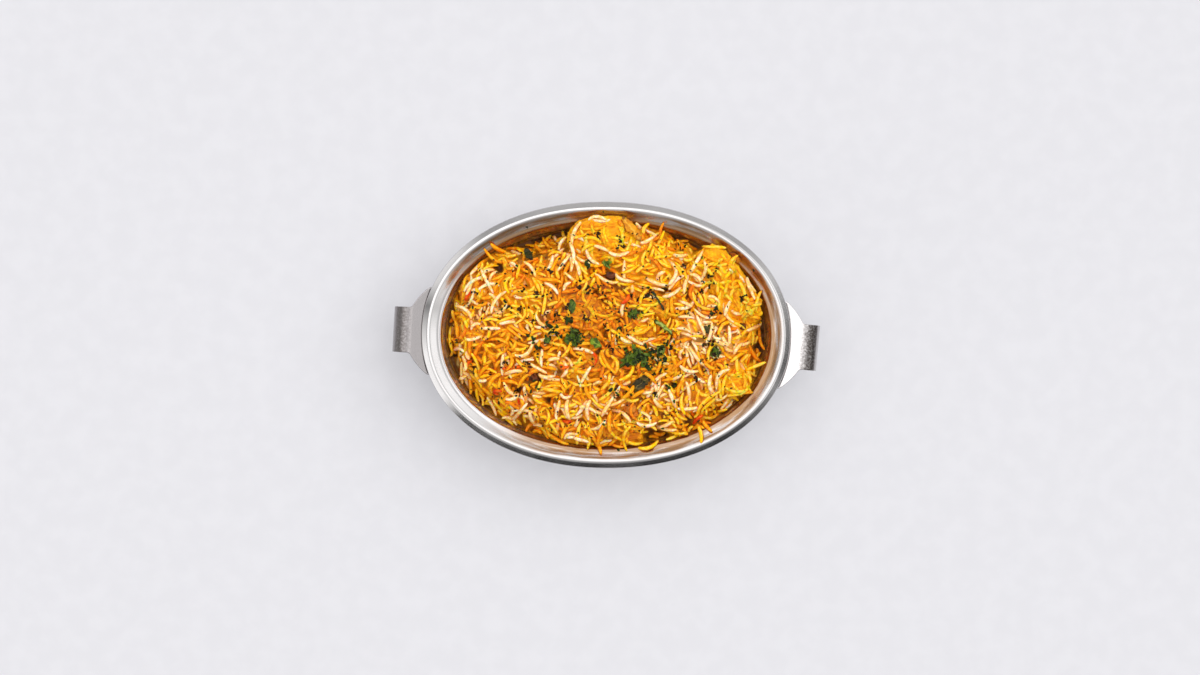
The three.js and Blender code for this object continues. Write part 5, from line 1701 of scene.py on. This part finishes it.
def bed_points(field, sides, rings):
    """The bed's points: rings from the foot up to the middle of the heap, then the two middles."""
    turns = np.linspace(0, 2 * math.pi, sides, endpoint=False)
    bent = np.stack([np.sign(wave) * np.abs(wave) ** (2 / OVAL_POWER)
                     for wave in (np.cos(turns), np.sin(turns))])

    def ring(inset):
        return bent * np.stack([HALF_LENGTH - inset, HALF_WIDTH - inset])

    foot = [(inset + FOOD_ROOM, z + FOOD_ROOM) for inset, z in foot_arc(6)[::-1]]
    below = [(*ring(np.full(sides, inset)), np.full(sides, z)) for inset, z in foot]
    edge_z = sample(field, *ring(np.full(sides, wall_inset(EDGE) + 0.5)))
    edge_x, edge_y = ring(wall_inset(np.minimum(edge_z, WALL_TOP)) + FOOD_ROOM)
    above = [(edge_x, edge_y, edge_z)]
    for share in np.linspace(1, 0, rings + 1)[1:-1]:
        x, y = edge_x * share, edge_y * share
        above.append((x, y, sample(field, x, y)))
    rows = np.array(below + above).transpose(0, 2, 1).reshape(-1, 3)
    middle = [[0, 0, foot[0][1]], [0, 0, float(sample(field, np.zeros(1), np.zeros(1))[0])]]
    return np.concatenate([rows, middle])


def bed_faces(points, sides):
    """Faces between the rings, and two fans that close the bed."""
    last, floor_middle, top_middle = len(points) - 2 - sides, len(points) - 2, len(points) - 1
    faces = [(k + i, k + (i + 1) % sides, k + sides + (i + 1) % sides, k + sides + i)
             for k in range(0, last, sides) for i in range(sides)]
    faces += [(floor_middle, (i + 1) % sides, i) for i in range(sides)]
    faces += [(top_middle, last + i, last + (i + 1) % sides) for i in range(sides)]
    return faces


def make_bed():
    """The closed bed, with what its material reads kept for each point."""
    weights = kind_weights(grid_x, grid_y)
    spice = smooth_step(weights[..., KINDS.index("orange")], *SPICE_RANGE)
    saffron = smooth_step(weights[..., KINDS.index("yellow")], *SAFFRON_RANGE)
    shade = wall_shade()
    points = bed_points(bed_field(spice, saffron, shade), BED_SIDES, BED_RINGS)
    mesh = bpy.data.meshes.new("rice_bed")
    mesh.from_pydata((points * MM).tolist(), [], bed_faces(points, BED_SIDES))
    x, y, z = points.T
    store(mesh, "spice", sample(spice, x, y))
    store(mesh, "saffron", 0.75 * sample(saffron, x, y))
    cream = sample(weights[..., KINDS.index("cream")], x, y)
    store(mesh, "pale", 0.9 * smooth_step(cream, *PALE_RANGE))
    # painted shade: the bed is darkened where it lies deep under the heap's face and in the space at a
    # free wall
    sunk = smooth_step(sample(heap_form, x, y) - z, *DEEP_RANGE)
    store(mesh, "deep", np.maximum(sunk, sample(shade, x, y)))
    mesh.materials.append(bed_material())
    shade_smooth(mesh)
    if volume(mesh) < 0:
        mesh.flip_normals()
    return serve(new_piece("rice_bed", mesh), "rice", "rice")


make_bed()

# %% [markdown]
# ## Flecks
# Dried herbs and coarse spice lie over everything as dark flecks, singly and in small heaps. A
# fleck is a ball of twenty faces that is pressed flat. A tree puts one at every given point, turns
# it by the angles that the point keeps, and moves its corners by noise so that no two are alike.

# %% Flecks
# The spots are the middles of the small heaps.
HERB_SPOTS = [(-56, 14), (-31, 6), (-31, 1), (-10, 38), (55, 27), (-41, -2), (-38, -8), (-39, -29),
              (35, -27), (-27, 1), (5, -32), (59, 13), (17, -11), (23, -6), (30, -8), (28, -14),
              (33, -5), (8, 2), (-13, 0), (-20, 8), (24, -12), (29, -10), (26, -17), (22, -15), (31, -13)]
SPICE_SPOTS = [
    (-14, 26), (-9, 23), (-3, 25), (-23, 15), (-11, 10), (-25, 10), (-33, 11), (-40, 8), (-46, 14),
    (-36, 22), (-30, 22), (-44, 24), (-41, 34), (-24, 37), (-29, 34), (-5, 54), (6, 51),
    (8, 48), (42, 47), (42, 37), (73, 21), (51, 24), (31, 25), (56, 31), (21, 21), (16, 20),
    (24, 23), (1, 5), (-55, -17), (-49, -32), (54, -3), (58, -6), (58, -10), (2, -6), (27, -31),
    (34, -44), (49, -22), (53, -2), (60, 13), (58, 14), (-42, -16), (36, -6)]
RIM_SPOTS = [(-2.2, 66.7), (-43.4, 58), (79.7, 35.8), (7.3, -62.4)]     # flecks on the steel
HERB = food_material("herb_fleck", (0.035, 0.06, 0.012, 1), (0.012, 0.02, 0.006, 1), 300, glow=0)
SPICE = food_material("spice_fleck", (0.05, 0.022, 0.008, 1), (0.014, 0.008, 0.004, 1), 300, glow=0)


def fleck_tree():
    """A flattened ball on each point, turned as the point says, with its corners moved."""
    tree, given = new_tree("flecks on points", Jitter=("Float", 0.0015), Material=("Material", None))
    ball = put(tree, "GeometryNodeMeshIcoSphere", {"Radius": 1, "Subdivisions": 1})
    rotation = put(tree, "FunctionNodeEulerToRotation", {0: kept_value(tree, "turn", "FLOAT_VECTOR")})
    spread = put(tree, "GeometryNodeInstanceOnPoints", {
        "Points": given["Geometry"], "Instance": ball.outputs[0], "Rotation": rotation.outputs[0],
        "Scale": kept_value(tree, "size", "FLOAT_VECTOR")})
    real = put(tree, "GeometryNodeRealizeInstances", {"Geometry": spread.outputs[0]})
    place = put(tree, "GeometryNodeInputPosition").outputs[0]
    wave = put(tree, "ShaderNodeTexNoise", {"Vector": place, "Scale": 1300, "Detail": 1}).outputs["Color"]
    centred = put(tree, "ShaderNodeVectorMath", {0: wave, 1: (0.5, 0.5, 0.5)}, operation="SUBTRACT")
    shift = put(tree, "ShaderNodeVectorMath", {0: centred.outputs[0], "Scale": given["Jitter"]},
                operation="SCALE")
    bent = put(tree, "GeometryNodeSetPosition", {"Geometry": real.outputs[0], "Offset": shift.outputs[0]})
    return end_tree(tree, bent.outputs[0], given["Material"])


FLECKS = fleck_tree()
FLECKS_IN_HEAP = 6
LOOSE_SHARE = 0.62              # size of a single fleck beside one in a heap
SINGLE_INWARD = 3               # single flecks lie at least this far inside the wall
FLECK_FORM = (1, 0.55, 0.3)     # length, width and height
FLECK_TILT = 0.4
FLECK_LIFT = 0.1                # over what it lies on
HEAP_SPREAD = 0.8               # how far a heap spreads, in sizes of a fleck


def make_flecks(name, spots, loose, size, material, slot, random):
    """Small heaps of flecks at the spots, and single ones at random places."""
    heaps = np.repeat(np.array(spots, float), FLECKS_IN_HEAP, axis=0)
    heaps += random.normal(0, size * HEAP_SPREAD, heaps.shape)
    yellow = kind_weights(grid_x, grid_y)[..., KINDS.index("yellow")]
    scarce = 1 - yellow > random.random(heights.shape)      # few flecks lie on the yellow rice
    single = random.choice(np.argwhere((inward_map > SINGLE_INWARD) & scarce), loose)
    flat = np.concatenate([heaps, np.stack([map_x[single[:, 0]], map_y[single[:, 1]]], 1), RIM_SPOTS])
    top = np.maximum(heights, leaf_tops)[cell_of(*flat.T)]
    points = np.column_stack([flat, top + FLECK_LIFT]) * MM
    share = np.where(np.arange(len(points)) < len(heaps), 1, LOOSE_SHARE)[:, None]
    sizes = share * size * random.uniform(0.4, 1, (len(points), 1)) * FLECK_FORM * MM
    tilts = random.normal(0, FLECK_TILT, (len(points), 2))
    turns = np.column_stack([tilts, random.uniform(0, 6.3, len(points))])
    mesh = bpy.data.meshes.new(name)
    mesh.from_pydata(points.tolist(), [], [])
    store(mesh, "size", sizes, "FLOAT_VECTOR")
    store(mesh, "turn", turns, "FLOAT_VECTOR")
    return serve(grow(name, mesh, FLECKS, Material=material), slot)


make_flecks("herb_flecks", HERB_SPOTS, 170, 2.0, HERB, "dark_leaf", random)
make_flecks("spice_flecks", SPICE_SPOTS, 520, 1.55, SPICE, "dark_leaf", random)
